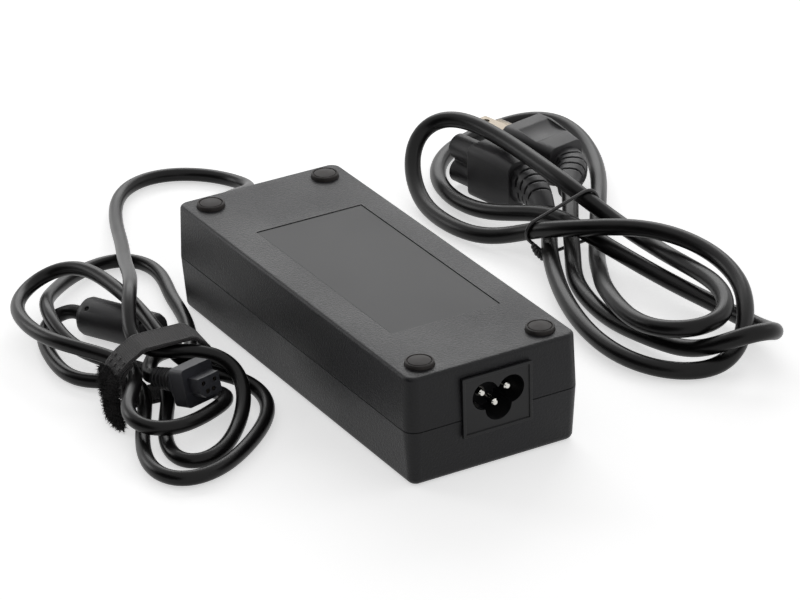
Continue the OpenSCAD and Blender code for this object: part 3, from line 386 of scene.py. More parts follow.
def loop_points(loop, steps):
    """One loop of a bundle: a cubic curve in plan, with its heights."""
    start, end, out_way, out_pull, in_way, in_pull, heights = loop
    p0, p3 = np.array(start[:2], float), np.array(end[:2], float)
    out_way, in_way = math.radians(out_way), math.radians(in_way)
    p1 = p0 + out_pull * np.array([math.cos(out_way), math.sin(out_way)])
    p2 = p3 + in_pull * np.array([math.cos(in_way), math.sin(in_way)])
    h = [start[2], *heights, end[2]]
    made = []
    for k in range(steps + 1):
        t = k / steps
        s = 1 - t
        q = s**3 * p0 + 3 * s * s * t * p1 + 3 * s * t * t * p2 + t**3 * p3
        at = t * (len(h) - 1)
        i = min(int(math.floor(at + 1e-9)), len(h) - 2)
        w = (1 - math.cos(math.pi * (at - i))) / 2
        made.append((q[0], q[1], h[i] * (1 - w) + h[i + 1] * w))
    return made


def curve_through(points, steps):
    """Smooth curve through the points, with that many steps between two."""
    p = np.array(points, float)
    gaps = np.diff(p, axis=0)
    d = np.linalg.norm(gaps, axis=1)
    slope = np.zeros_like(p)
    slope[0], slope[-1] = gaps[0] / d[0], gaps[-1] / d[-1]
    a, b = d[:-1, None], d[1:, None]
    slope[1:-1] = (gaps[1:] / b * a + gaps[:-1] / a * b) / (a + b)
    made = []
    for i in range(len(p) - 1):
        for k in range(steps):
            t = k / steps
            t2, t3 = t * t, t**3
            made.append(
                (2 * t3 - 3 * t2 + 1) * p[i]
                + (t3 - 2 * t2 + t) * slope[i] * d[i]
                + (3 * t2 - 2 * t3) * p[i + 1]
                + (t3 - t2) * slope[i + 1] * d[i]
            )
    return np.array(made + [p[-1]])


def nearest(a, b, c, d):
    """Share along a-b, and the vector to it from c-d, where both come closest."""

    def dot(x, y):
        return (x * y).sum(-1)

    u, v, r = b - a, d - c, a - c
    uu, vv, uv, vr, ur = dot(u, u), dot(v, v), dot(u, v), dot(v, r), dot(u, r)
    den = uu * vv - uv * uv
    flat = den <= 1e-9
    s0 = np.where(
        flat, 0, np.clip((uv * vr - ur * vv) / np.where(flat, 1, den), 0, 1)
    )
    t0 = (uv * s0 + vr) / vv
    s = np.where(
        t0 < 0,
        np.clip(-ur / uu, 0, 1),
        np.where(t0 > 1, np.clip((uv - ur) / uu, 0, 1), s0),
    )
    t = np.clip(t0, 0, 1)
    return s, a + u * s[..., None] - c - v * t[..., None]


def pushes(p, sums, d, gap, fixed):
    """How far each point has to give way, to its own strands and to fixed rods."""
    n = len(p)
    push = np.zeros_like(p)
    mid = (p[1:] + p[:-1]) / 2
    half = np.linalg.norm(np.diff(p, axis=0), axis=1) / 2
    far = np.linalg.norm(mid[:, None] - mid[None], axis=2)
    apart = np.abs(np.subtract.outer(np.arange(n - 1), np.arange(n - 1))) > 2
    i, j = np.nonzero(apart & (far < half[:, None] + half[None] + d + gap))
    lots = [(i, p[j], p[j + 1], d + gap, 0.5, np.where(sums[i] >= sums[j], 1, -1))]
    every = np.arange(n - 1)
    for a, b, r in fixed:
        ends = [np.repeat([q], n - 1, axis=0).astype(float) for q in (a, b)]
        lots.append((every, *ends, d / 2 + r + gap, 1.0, np.ones(n - 1)))
    for i, c, e, reach, share, rise in lots:
        s, w = nearest(p[i], p[i + 1], c, e)
        size = np.linalg.norm(w, axis=1)
        up = np.stack([0 * rise, 0 * rise, rise], 1)
        way = np.where((size < 0.5)[:, None], up, w / np.maximum(size, 1e-9)[:, None])
        f = way * ((reach - size) * share * (size < reach))[:, None]
        np.add.at(push, i, f * (1 - s)[:, None])
        np.add.at(push, i + 1, f * s[:, None])
    return push


def settled(route, d, gap, fixed, held):
    """A bundle's strands moved apart until they lie beside and over each other, and
    their sharp turns then taken out as far as that leaves room. The first and last
    points held stay where they are."""
    base = np.array(route, float)
    n = len(base)
    shift = np.zeros_like(base)
    pinned = np.zeros(n, bool)
    pinned[: held[0]] = pinned[n - held[1] :] = True
    low = d / 2 + OFF_TABLE
    sums = base[:-1, 2] + base[1:, 2]
    for _ in range(SETTLING):
        p = base + shift
        p[:, 2] = np.maximum(p[:, 2], low)
        new = np.zeros_like(shift)
        new[1:-1] = smoothed(shift)
        shift = new + pushes(p, sums, d, gap, fixed)
        shift[:, 2] = np.maximum(shift[:, 2], low - base[:, 2])
        shift[pinned] = 0
    p = base + shift
    p[:, 2] = np.maximum(p[:, 2], low)
    run = run_along(p)
    at = np.linspace(0, run[-1], int(run[-1] / EVEN_STEP))
    p = points_at(p, run, at)
    pinned = (at <= run[held[0]]) | (at >= run[n - 1 - held[1]])
    sums = p[:-1, 2] + p[1:, 2]
    for _ in range(SMOOTHING):
        q = p.copy()
        for share in (0.6, -0.62):
            q[1:-1] += share * ((q[:-2] + q[2:]) / 2 - q[1:-1])
        q += 0.6 * pushes(q, sums, d, LEAST_GAP, fixed)
        q[:, 2] = np.maximum(q[:, 2], low)
        p = np.where(pinned[:, None], p, q)
    return p


def moved(p, *by):
    """A point moved by an offset."""
    return tuple(np.array(p, float) + by)


def output_routes():
    """The output cord's points to the choke, and its tail to the plug. The rods that
    it keeps off, each with its radius, are the choke, the plug, its own tail, the
    strap, the strap's brushed end and the brick."""
    tail = curve_through(CORD_TAIL, 3)
    points = list(CORD_RUN)
    for loop in OUTPUT_LOOPS:
        points += loop_points(loop, 8 if loop is OUTPUT_LOOPS[-1] else 12)
    boot, block = np.array(BOOT_AT), np.array(BLOCK_AT)
    middle = (boot + block) / 2
    fixed = [
        (CHOKE_A, CHOKE_B, 6.8),
        (BOOT_AT, middle, 3.9),
        (middle, boot * 0.2 + block * 0.8, 7.2),
    ]
    fixed += [(a, b, OUTPUT_D / 2) for a, b in zip(tail[:-1], tail[1:])]
    fixed += [(strap_pt(-14, v, 0), strap_pt(14, v, 0), 0.7) for v in (-5, 0, 5)]
    fixed += [
        (strap_pt(u, v, 3), strap_pt(u, v, 11), 0.8)
        for u, v in ((-13.9, 5.4), (17.9, -5.4))
    ]
    fixed += [
        (moved(PILE_PATH[0], 0, v, 0), moved(PILE_PATH[3], 0, v, 0), 0.6 * PILE_T)
        for v in (-5, 0, 5)
    ]
    fixed += [((-FACE_X, -FACE_Y, z), (-FACE_X, FACE_Y, z), 6) for z in (6, 14)]
    route = curve_through(points + [CHOKE_A], 2)
    return settled(route, OUTPUT_D, OUTPUT_GAP, fixed, (6, 3)), tail


def mains_route():
    """The mains cord's points from the connector to the plug. The rods that it keeps
    off are the connector, the plug, their reliefs and the tie."""
    points = list(MAINS_START)
    for loop in MAINS_LOOPS:
        points += loop_points(loop, 12)
    route = curve_through(points + MAINS_FINISH, 2)
    soft = route.copy()
    soft[1:-1] = smoothed(route)
    c, p = (CONNECTOR_AT, CONNECTOR_TURN), (PLUG_FRONT, PLUG_TURN)
    long, wide = CONNECTOR_SIZE[0], CONNECTOR_SIZE[1] / 2
    plug_long, plug_wide = PLUG_SIZE[0], PLUG_SIZE[1] / 2
    fixed = [
        (turned_point(*c, 8, wide, 8.8), turned_point(*c, 26, wide, 8.8), 9),
        (turned_point(*c, 8, wide, 10.6), turned_point(*c, 26, wide, 10.6), 9),
        (turned_point(*c, long, wide, 9.6), moved(CONNECTOR_END, 0.5, 3.5, 1.6), 6),
        (turned_point(*p, 6, plug_wide, 10.5), turned_point(*p, 18, plug_wide, 10.5), 11),
        (turned_point(*p, plug_long, plug_wide, 10.4), moved(PLUG_END, 1.8, 3, 0.1), 5.5),
    ]
    fixed += [(tie_pt(-15, v, 0), tie_pt(15, v, 0), 0.65) for v in (-1, 1)]
    return settled(soft, MAINS_D, MAINS_GAP, fixed, (3, 4))


# ---- Meshes


@contextmanager
def edited(mesh):
    """A mesh opened for editing, and written back afterwards."""
    bm = bmesh.new()
    bm.from_mesh(mesh)
    yield bm
    bm.to_mesh(mesh)
    bm.free()


def piece(name, body, mats, verts=None, faces=None, mesh=None, replaces=()):
    """A new mesh object in the row frame that rides on a body."""
    if mesh is None:
        mesh = bpy.data.meshes.new(name)
        mesh.from_pydata([tuple(v) for v in verts], [], [tuple(f) for f in faces])
    mesh.name = name
    mesh.materials.clear()
    for m in mats:
        mesh.materials.append(m)
    mesh.update()
    made = bpy.data.objects.new(name, mesh)
    bpy.context.scene.collection.objects.link(made)
    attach(made, body)
    if replaces:
        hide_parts(*replaces)
    return made


def finished(name, body, mat, limit=40):
    """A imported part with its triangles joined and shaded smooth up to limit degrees."""
    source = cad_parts[name].data
    mesh = bpy.data.meshes.new(name)
    mesh.from_pydata(
        [v.co for v in source.vertices], [], [tuple(f.vertices) for f in source.polygons]
    )
    with edited(mesh) as bm:
        bmesh.ops.remove_doubles(bm, verts=bm.verts, dist=0.001 * MM)
    made = piece(f"{name}_skin", body, [mat], mesh=mesh, replaces=(name,))
    smooth(made, limit)
    return made


def faces_between(n, m, closed=False):
    """Faces between n rings of m points each, and over both ends unless it closes."""
    faces = [
        (i * m + j, i * m + (j + 1) % m, k * m + (j + 1) % m, k * m + j)
        for i, k in zip(range(n), [*range(1, n), 0][: n if closed else n - 1])
        for j in range(m)
    ]
    if not closed:
        faces += [tuple(range(m))[::-1], tuple((n - 1) * m + j for j in range(m))]
    return faces


def tube(name, body, mats, path, radius, sides, replaces=(), closed=False):
    """A round tube along a path in mm, with its length in metres and its way round as
    UVs. A closed one is a ring."""
    p = np.array(path, float)
    t = unit(np.roll(p, -1, 0) - np.roll(p, 1, 0) if closed else np.gradient(p, axis=0))
    u = np.cross(t[0], (0, 0, 1))
    sideways = []
    for way in t:
        u = u - (u @ way) * way
        u /= np.linalg.norm(u)
        sideways.append(u)
    sideways = np.array(sideways)
    up = np.cross(t, sideways)
    angle = 2 * math.pi * np.arange(sides)[:, None] / sides
    ring = p[:, None] + radius * (
        sideways[:, None] * np.cos(angle) + up[:, None] * np.sin(angle)
    )
    verts = ring.reshape(-1, 3) * MM
    n, m = len(p), sides
    faces = faces_between(n, m, closed)
    made = piece(name, body, mats, verts, faces, replaces=replaces)
    mesh = made.data
    run = run_along(p) * MM
    layer = mesh.uv_layers.new(name="along")
    for poly in mesh.polygons:
        wrap = len(poly.vertices) == 4
        for k, loop in zip(poly.vertices, poly.loop_indices):
            i, j = divmod(k, m)
            around = j / m
            if wrap and j == 0 and any(v % m == m - 1 for v in poly.vertices):
                around = 1.0
            layer.data[loop].uv = (run[i], around)
    outwards(made)
    smooth(made)
    return made


def turned(name, body, mats, box, profile, replaces=()):
    """A closed round piece standing in a box: profile gives shares of its radius and
    millimetres below its top, from the middle outwards."""
    sides = 56
    low, high = np.array(box[0]), np.array(box[1])
    at, radius = (low + high) / 2, (high - low)[0] / 2
    rings = [(r, high[2] - down * MM) for r, down in profile] + [(1.0, low[2])]
    verts, faces = [(at[0], at[1], rings[0][1]), (at[0], at[1], low[2])], []
    for r, z in rings:
        for k in range(sides):
            q = 2 * math.pi * k / sides
            x, y = r * radius * math.cos(q), r * radius * math.sin(q)
            verts.append((at[0] + x, at[1] + y, z))
    last = len(rings) - 1
    for k in range(sides):
        n = (k + 1) % sides
        faces.append((0, 2 + k, 2 + n))
        faces.append((1, 2 + last * sides + n, 2 + last * sides + k))
        for i in range(last):
            a, b = 2 + i * sides, 2 + (i + 1) * sides
            faces.append((a + k, b + k, b + n, a + n))
    made = piece(name, body, mats, verts, faces, replaces=replaces)
    outwards(made)
    smooth(made, 30)
    return made


def outwards(obj):
    """Faces of a closed piece turned to point outwards."""
    with edited(obj.data) as bm:
        bmesh.ops.recalc_face_normals(bm, faces=bm.faces)


def smooth(obj, limit=35):
    """Smooth shading with crisp edges past limit degrees."""
    mesh = obj.data
    mesh.polygons.foreach_set("use_smooth", [True] * len(mesh.polygons))
    with edited(mesh) as bm:
        for edge in bm.edges:
            bent = edge.calc_face_angle(0) > math.radians(limit)
            edge.smooth = not (len(edge.link_faces) == 2 and bent)


BOX_FACES = (
    (0, 1, 2, 3), (7, 6, 5, 4), (0, 4, 5, 1), (1, 5, 6, 2), (2, 6, 7, 3), (3, 7, 4, 0),
)


def swept(name, body, mats, centres, across, up, section, replaces, boxes=()):
    """A strip whose section, pairs of across and up in mm, follows the centres, with
    boxes on it, each as its lower and then its upper corners, in the last material."""
    n, m = len(centres), len(section)
    a, b = np.array(section).T
    rings = centres[:, None] + across[:, None] * a[:, None] + up[:, None] * b[:, None]
    verts = list(rings.reshape(-1, 3) * MM)
    faces = faces_between(n, m)
    count = len(faces)
    for box in boxes:
        k = len(verts)
        verts += [v * MM for v in box]
        faces += [tuple(k + i for i in f) for f in BOX_FACES]
    made = piece(name, body, mats, verts, faces, replaces=replaces)
    run = run_along(centres)
    layer = made.data.uv_layers.new(name="along")
    for poly in made.data.polygons:
        poly.material_index = 0 if poly.index < count else len(mats) - 1
        for k, loop in zip(poly.vertices, poly.loop_indices):
            i, j = divmod(k, m)
            if i < n:
                layer.data[loop].uv = (run[i] * MM, a[j] * MM)
    outwards(made)
    smooth(made, 50)
    return made


# ---- Sizes and colours that a user would change


class HousingLook(bpy.types.PropertyGroup):
    """Colours and texture of the brick."""

    shell: bpy.props.FloatVectorProperty(
        name="Shell", description="Colour of the textured housing", subtype="COLOR",
        size=4, min=0, max=1, default=linear("#1a1a1d"),
    )
    # Darker colour in the pits of the grain: painted shade in the pits, mixed with random patches
    shell_pit_shade: bpy.props.FloatVectorProperty(
        name="Shell pits", description="Colour in the pits of the texture",
        subtype="COLOR", size=4, min=0, max=1, default=linear("#101012"),
    )
    grain: bpy.props.FloatProperty(
        name="Grain", description="Spacing of the moulded texture in millimetres",
        default=0.7, min=0.1, max=3,
    )


class LeadLook(bpy.types.PropertyGroup):
    """Sizes and colours of the two leads."""

    sides: bpy.props.IntProperty(
        name="Sides", description="Faces around a cord", default=20, min=8, max=48
    )
    steps: bpy.props.IntProperty(
        name="Steps", description="Rings between two route points", default=4, min=1
    )
    tufts: bpy.props.FloatProperty(
        name="Tufts", description="Tufts of the brushed end to a square millimetre",
        default=8, min=1, max=20,
    )
    tuft_length: bpy.props.FloatProperty(
        name="Tuft length", description="Length of a tuft in millimetres",
        default=1.5, min=0.2, max=4,
    )


class StageLook(bpy.types.PropertyGroup):
    """Camera and lamps."""

    lens: bpy.props.FloatProperty(
        name="Lens", description="Focal length on a 36 mm sensor",
        default=182.461, min=20, subtype="DISTANCE_CAMERA",
    )
    room: bpy.props.FloatProperty(
        name="Room light", description="Strength of the even light around",
        default=0.4, min=0,
    )
    sky: bpy.props.FloatProperty(
        name="Overhead light", description="Power of the large lamp above",
        default=11.0, min=0, unit="POWER",
    )


# ---- Operators


def lamp(name, place, at, size, power):
    """An area lamp at a place, turned to a point."""
    data = bpy.data.lights.new(name, "AREA")
    data.shape = "RECTANGLE"
    data.size, data.size_y = size
    data.energy = power
    made = bpy.data.objects.new(name, data)
    made.location = place
    way = Vector(at) - Vector(place)
    made.rotation_euler = way.to_track_quat("-Z", "Y").to_euler()
    bpy.context.scene.collection.objects.link(made)


def staged(name, corners, mat):
    """A flat object with four corners in metres, for the stage alone."""
    mesh = bpy.data.meshes.new(name)
    mesh.from_pydata(corners, [], [(0, 1, 2, 3)])
    mesh.materials.append(mat)
    made = bpy.data.objects.new(name, mesh)
    bpy.context.scene.collection.objects.link(made)
    return made


class ADAPTER_OT_stage(bpy.types.Operator):
    """Camera, lamps, surface and background"""

    bl_idname = "adapter.stage"
    bl_label = "Stage"

    def execute(self, context):
        look = context.scene.adapter_stage
        camera = bpy.data.cameras.new("camera")
        camera.lens = look.lens
        camera.sensor_width = 36
        camera.clip_start, camera.clip_end = 0.05, 20
        eye = bpy.data.objects.new("camera", camera)
        right, up = Vector(CAMERA_RIGHT), Vector(CAMERA_UP)
        turn = Matrix((right, up, right.cross(up))).transposed().to_4x4()
        eye.matrix_world = Matrix.Translation(CAMERA_AT) @ turn
        context.scene.collection.objects.link(eye)
        context.scene.camera = eye
        for name, place, at, size, share in LAMPS:
            lamp(name, place, at, size, look.sky * share)

        world = bpy.data.worlds.new("room")
        context.scene.world = world
        world.use_nodes = True
        tree = world.node_tree
        tree.nodes.clear()
        strength = spread_out(tree, looked_at(tree), look.room, 1.0)
        out = add(tree, "ShaderNodeOutputWorld")
        inputs = {"Color": (1, 1, 1, 1), "Strength": strength}
        shaded(tree, out, "ShaderNodeBackground", inputs)

        # White table that keeps the object's shadow
        mat, tree, out, _ = blank("white_table")
        glow = maths(tree, "MULTIPLY", looked_at(tree), TABLE_GLOW)
        flat = add(tree, "ShaderNodeBsdfDiffuse", {"Color": (0.9, 0.9, 0.9, 1)})
        lit = add(tree, "ShaderNodeEmission", {"Color": (1, 1, 1, 1), "Strength": glow})
        shaded(tree, out, "ShaderNodeAddShader", {0: flat.outputs[0], 1: lit.outputs[0]})
        r = TABLE_HALF
        table = staged("table", [(-r, -r, 0), (r, -r, 0), (r, r, 0), (-r, r, 0)], mat)
        table.location.z = -TABLE_DROP

        # Black card at the left, out of the picture: it darkens the reflections along
        # the brick's rounded edge and the cords' flanks
        mat, tree, out, _ = blank("black_card")
        shaded(tree, out, "ShaderNodeBsdfDiffuse", {"Color": (0.01, 0.01, 0.01, 1)})
        x, y, (low, high) = CARD_X, CARD_Y, CARD_Z
        corners = [(x, -y, low), (x, y, low), (x, y, high), (x, -y, high)]
        staged("card", corners, mat).visible_camera = False
        return {"FINISHED"}


def free_cord(name, body, path, diameter, replaces):
    """A cord's jacket along a path in mm, in place of the parts that it replaces."""
    sides = bpy.context.scene.adapter_leads.sides
    made = tube(name, body, [jacket()], path, diameter / 2, sides, replaces)


class ADAPTER_OT_output_cord(bpy.types.Operator):
    """Output cord from the brick through its bundle and choke to the plug"""

    bl_idname = "adapter.output_cord"
    bl_label = "Output cord"

    def execute(self, context):
        steps = context.scene.adapter_leads.steps
        points, tail = output_routes()
        through = curve_through([points[-1], CHOKE_B], 6)[1:-1]
        path = np.vstack([curve_through(points, steps), through, curve_through(tail, steps)])
        free_cord(
            "output_cord", "adapter", path, OUTPUT_D,
            ("output_cord_run", "output_cord_hank", "output_cord_tail"),
        )
        return {"FINISHED"}


class ADAPTER_OT_mains_cord(bpy.types.Operator):
    """Mains cord in its tied bundle"""

    bl_idname = "adapter.mains_cord"
    bl_label = "Mains cord"

    def execute(self, context):
        path = curve_through(mains_route(), context.scene.adapter_leads.steps)
        free_cord(
            "mains_cord_jacket", "mains_lead", path, MAINS_D,
            ("mains_cord",),
        )
        return {"FINISHED"}


def strap_outline():
    """Places in the strap's plane and the ways out from them, at even steps, going
    from the top right over the left side and round."""
    way = np.radians(90 + np.arange(720) / 2)
    out = np.stack([np.cos(way), np.sin(way)], 1)
    corners = np.array(STRAP_BUNDLE, float)
    best = corners[np.argmax(corners @ out.T, axis=0)]
    base, normal = [best[0]], [out[0]]
    for i in range(1, len(way) + 1):
        b, o = best[i % len(way)], out[i % len(way)]
        steps = max(1, int(np.linalg.norm(b - base[-1]) / 0.5))
        first, turn = base[-1], normal[-1]
        for k in range(1, steps + 1):
            base.append(first + (b - first) * k / steps)
            normal.append(turn + (o - turn) * k / steps)
    base, normal = np.array(base), unit(np.array(normal))
    run = run_along(base + normal * (OUTPUT_D / 2 + STRAP_PLAY + STRAP_T / 2))
    at = np.linspace(0, run[-1], int(run[-1] / STRAP_STEP), endpoint=False)
    return points_at(base, run, at), points_at(normal, run, at)


def tape_line():
    """Middles of the strap's tape, once round the bundle and on over its own start,
    with the loose end lifting off."""
    base, normal = strap_outline()
    n = len(base)
    start, over = int(STRAP_START / STRAP_STEP), int(STRAP_LAP / STRAP_STEP)
    centres = []
    for k in range(n + over):
        i = (start + k) % n
        lift = min(max((k - n + 7) / 9, 0), 1)
        lift = lift * lift * (3 - 2 * lift)
        free = max(0, k - n - over + 8) / 8
        reach = OUTPUT_D / 2 + STRAP_PLAY + STRAP_T * (0.5 + 0.98 * lift) + 1.3 * free**2
        at = base[i] + normal[i] * reach
        centres.append(strap_pt(at[0], 0, at[1]))
    return np.array(centres)


def strip_ways(centres, along):
    """For each centre of a strip: the way across, the way on and the way up."""
    way = np.gradient(centres, axis=0)
    across = np.broadcast_to(along, way.shape)
    return across, way, unit(np.cross(across, way))


class ADAPTER_OT_strap(bpy.types.Operator):
    """Woven cable strap, lapped over itself, with its brushed end hanging down"""

    bl_idname = "adapter.strap"
    bl_label = "Cable strap"

    def execute(self, context):
        look = context.scene.adapter_leads
        # Knitted hook tape: dull, with a fine slanting grid of stitches
        tape = woven("knitted_hook_tape", "#121112", "#3a3738", 1.5, 0.2)
        # The same tape where its end is pressed flat in small squares, a little paler
        squares = woven("pressed_tape_end", "#2c2a2b", "#4a4748", 1.2, 0.08)
        along = np.array(strap_pt(0, 1, 0)) - strap_pt(0, 0, 0)
        centres = tape_line()
        across, on, up = strip_ways(centres, along)
        half, thick = STRAP_W / 2, STRAP_T / 2 - 0.02
        top = [(-half + 0.1, 0.3), (-half + 0.5, thick), (-half + 1.2, thick - 0.08)]
        top += [(a, thick - 0.05) for a in (-3, 0, 3)]
        top += [(-a, b) for a, b in top[2::-1]]
        section = top + [(a, -b) for a, b in top[::-1]]
        pads = []
        for row in range(3):
            k = len(centres) - 3 - int(row * PAD_PITCH / STRAP_STEP)
            on_k = on[k] / np.linalg.norm(on[k])
            for a in PAD_ACROSS:
                pads.append([
                    centres[k] + up[k] * (thick + high) + along * (a + wide * x) + on_k * long * y
                    for high, wide, long in ((-0.15, 1, 1), (0.28, 0.75, 0.7))
                    for x, y in PAD_CORNERS
                ])
        swept(
            "strap_tape", "adapter", [tape, squares], centres, across, up, section,
            ("cable_strap",), pads,
        )

        # Brushed loop pile: matt black felt that swallows the light
        felt = grained(
            "brushed_loop_pile", "#0c0b0c", "#2b292a", 0.95, 0.6, 0.1, patch=3, ease=0.05
        )
        centres = curve_through(PILE_PATH, 8)
        across, _, up = strip_ways(centres, along)
        section = [
            (
                PILE_W / 2 * math.copysign(abs(math.cos(q)) ** 0.45, math.cos(q)),
                PILE_T / 2 * math.copysign(abs(math.sin(q)) ** 0.6, math.sin(q)),
            )
            for q in np.linspace(0, 2 * math.pi, 28, endpoint=False)
        ]
        core = swept(
            "strap_felt", "adapter", [felt], centres, across, up, section,
            ("strap_pile",),
        )
        for v in core.data.vertices:
            x, y, z = v.co / MM
            bulge = 0.3 * math.sin(1.7 * y + 0.8 * z) * math.sin(1.1 * z + 2.0)
            v.co.x += (bulge - 0.2) * MM
            v.co.z = max(v.co.z, PILE_FOOT * MM)
        brushed(core, felt, look.tufts, look.tuft_length)
        return {"FINISHED"}


def brushed(core, mat, per_area, length):
    """Small bent tufts all over a piece, by the square millimetre, made one mesh."""
    tree = bpy.data.node_groups.new("brushed_tufts", "GeometryNodeTree")
    for way in ("INPUT", "OUTPUT"):
        tree.interface.new_socket("Geometry", in_out=way, socket_type="NodeSocketGeometry")
    start = add(tree, "NodeGroupInput").outputs["Geometry"]
    end = add(tree, "NodeGroupOutput")
    seed = {"Seed": TUFT_SEED}
    inputs = {"Mesh": start, "Density": per_area / MM**2, **seed}
    spread = add(tree, "GeometryNodeDistributePointsOnFaces", inputs).outputs
    inputs = {
        "Vertices": 3, "Side Segments": 3, "Radius Top": TUFT_TIP * MM,
        "Radius Bottom": TUFT_WIDTH * MM, "Depth": length * MM,
    }
    cone = add(tree, "GeometryNodeMeshCone", inputs).outputs["Mesh"]
    place = add(tree, "GeometryNodeInputPosition").outputs[0]
    height = add(tree, "ShaderNodeSeparateXYZ", {0: place}).outputs["Z"]
    # A tuft bends over by 0.3 mm for each square millimetre of its height
    lean = maths(tree, "MULTIPLY", maths(tree, "POWER", height, 2.0), 300.0)
    offset = add(tree, "ShaderNodeCombineXYZ", {"X": lean}).outputs[0]
    inputs = {"Geometry": cone, "Offset": offset}
    bent = add(tree, "GeometryNodeSetPosition", inputs).outputs[0]
    kind = "FunctionNodeRandomValue"
    low, high = (-TUFT_LEAN, -TUFT_LEAN, 0.0), (TUFT_LEAN, TUFT_LEAN, 6.28)
    tilt = add(tree, kind, {0: low, 1: high, **seed}, data_type="FLOAT_VECTOR").outputs[0]
    turn = add(tree, "FunctionNodeEulerToRotation", {0: tilt}).outputs[0]
    inputs = {"Rotation": spread["Rotation"], "Rotate By": turn}
    way = add(tree, "FunctionNodeRotateRotation", inputs, rotation_space="LOCAL").outputs[0]
    size = add(tree, kind, {2: 0.55, 3: 1.15, **seed}, data_type="FLOAT").outputs[1]
    inputs = {"Points": spread["Points"], "Instance": bent, "Rotation": way, "Scale": size}
    put = add(tree, "GeometryNodeInstanceOnPoints", inputs).outputs[0]
    real = add(tree, "GeometryNodeRealizeInstances", {"Geometry": put}).outputs[0]
    both = add(tree, "GeometryNodeJoinGeometry")
    tree.links.new(real, both.inputs[0])
    tree.links.new(start, both.inputs[0])
    inputs = {"Geometry": both.outputs[0], "Material": mat}
    done = add(tree, "GeometryNodeSetMaterial", inputs)
    tree.links.new(done.outputs[0], end.inputs[0])
    modifier = core.modifiers.new("tufts", "NODES")
    modifier.node_group = tree
    graph = bpy.context.evaluated_depsgraph_get()
    mesh = bpy.data.meshes.new_from_object(core.evaluated_get(graph))
    core.modifiers.remove(modifier)
    mesh.materials.clear()
    mesh.materials.append(mat)
    for v in mesh.vertices:
        v.co.z = max(v.co.z, TUFT_FOOT * MM)
    core.data = mesh


def hugging(route, radius, clear):
    """Closed line in the tie's plane, clear mm outside the strands that cross it."""
    off = route[:, 1] - TIE_AT[1]
    near = np.abs(off) < radius
    reach = np.sqrt(radius**2 - off[near] ** 2) + clear
    mids = route[near][:, (0, 2)] - (TIE_AT[0], 0)
    way = np.linspace(0, 2 * math.pi, 240, endpoint=False)
    out = np.stack([np.cos(way), np.sin(way)], 1)
    # The line's distance from the middle each way, and where those lines cross
    far = (mids @ out.T + reach[:, None]).max(0)
    slope = (np.roll(far, -1) - np.roll(far, 1)) / (2 * (way[1] - way[0]))
    line = out * far[:, None] + np.stack([-out[:, 1], out[:, 0]], 1) * slope[:, None]
    run = run_along(line)
    even = points_at(line, run, np.linspace(0, run[-1], 160, endpoint=False))
    for _ in range(4):
        even = smoothed(np.vstack([even[-1:], even, even[:1]]))
    return even


class ADAPTER_OT_tie(bpy.types.Operator):
    """Wire tie round the mains cord, with its ends twisted together"""

    bl_idname = "adapter.tie"
    bl_label = "Wire tie"

    def execute(self, context):
        # Plastic sleeve over soft wire: black with a thin gloss
        sleeve = grained("tie_sleeve", "#141314", "#242223", 0.38, 0.4, 0.01, patch=5)
        ring = hugging(curve_through(mains_route(), 4), MAINS_D / 2, TIE_D / 2 + 0.12)
        path = [tie_pt(u, 0, max(z, TIE_D / 2 + 0.15)) for u, z in ring]
        tube(
            "tie_loop", "mains_lead", [sleeve], path, TIE_D / 2, 12, ("twist_tie",),
            closed=True,
        )
        axis = curve_through(TIE_AXIS, 14)
        t = unit(np.gradient(axis, axis=0))
        u = unit(np.cross(t, (1, 0, 0)))
        v = np.cross(t, u)
        for name, shift in (("tie_end_a", 0), ("tie_end_b", math.pi)):
            q = np.linspace(0, TIE_TURNS * 2 * math.pi, len(axis))[:, None] + shift
            helix = axis + TIE_WIND * (u * np.cos(q) + v * np.sin(q))
            tube(name, "mains_lead", [sleeve], helix, TIE_D / 2 - 0.05, 10, ())
        return {"FINISHED"}


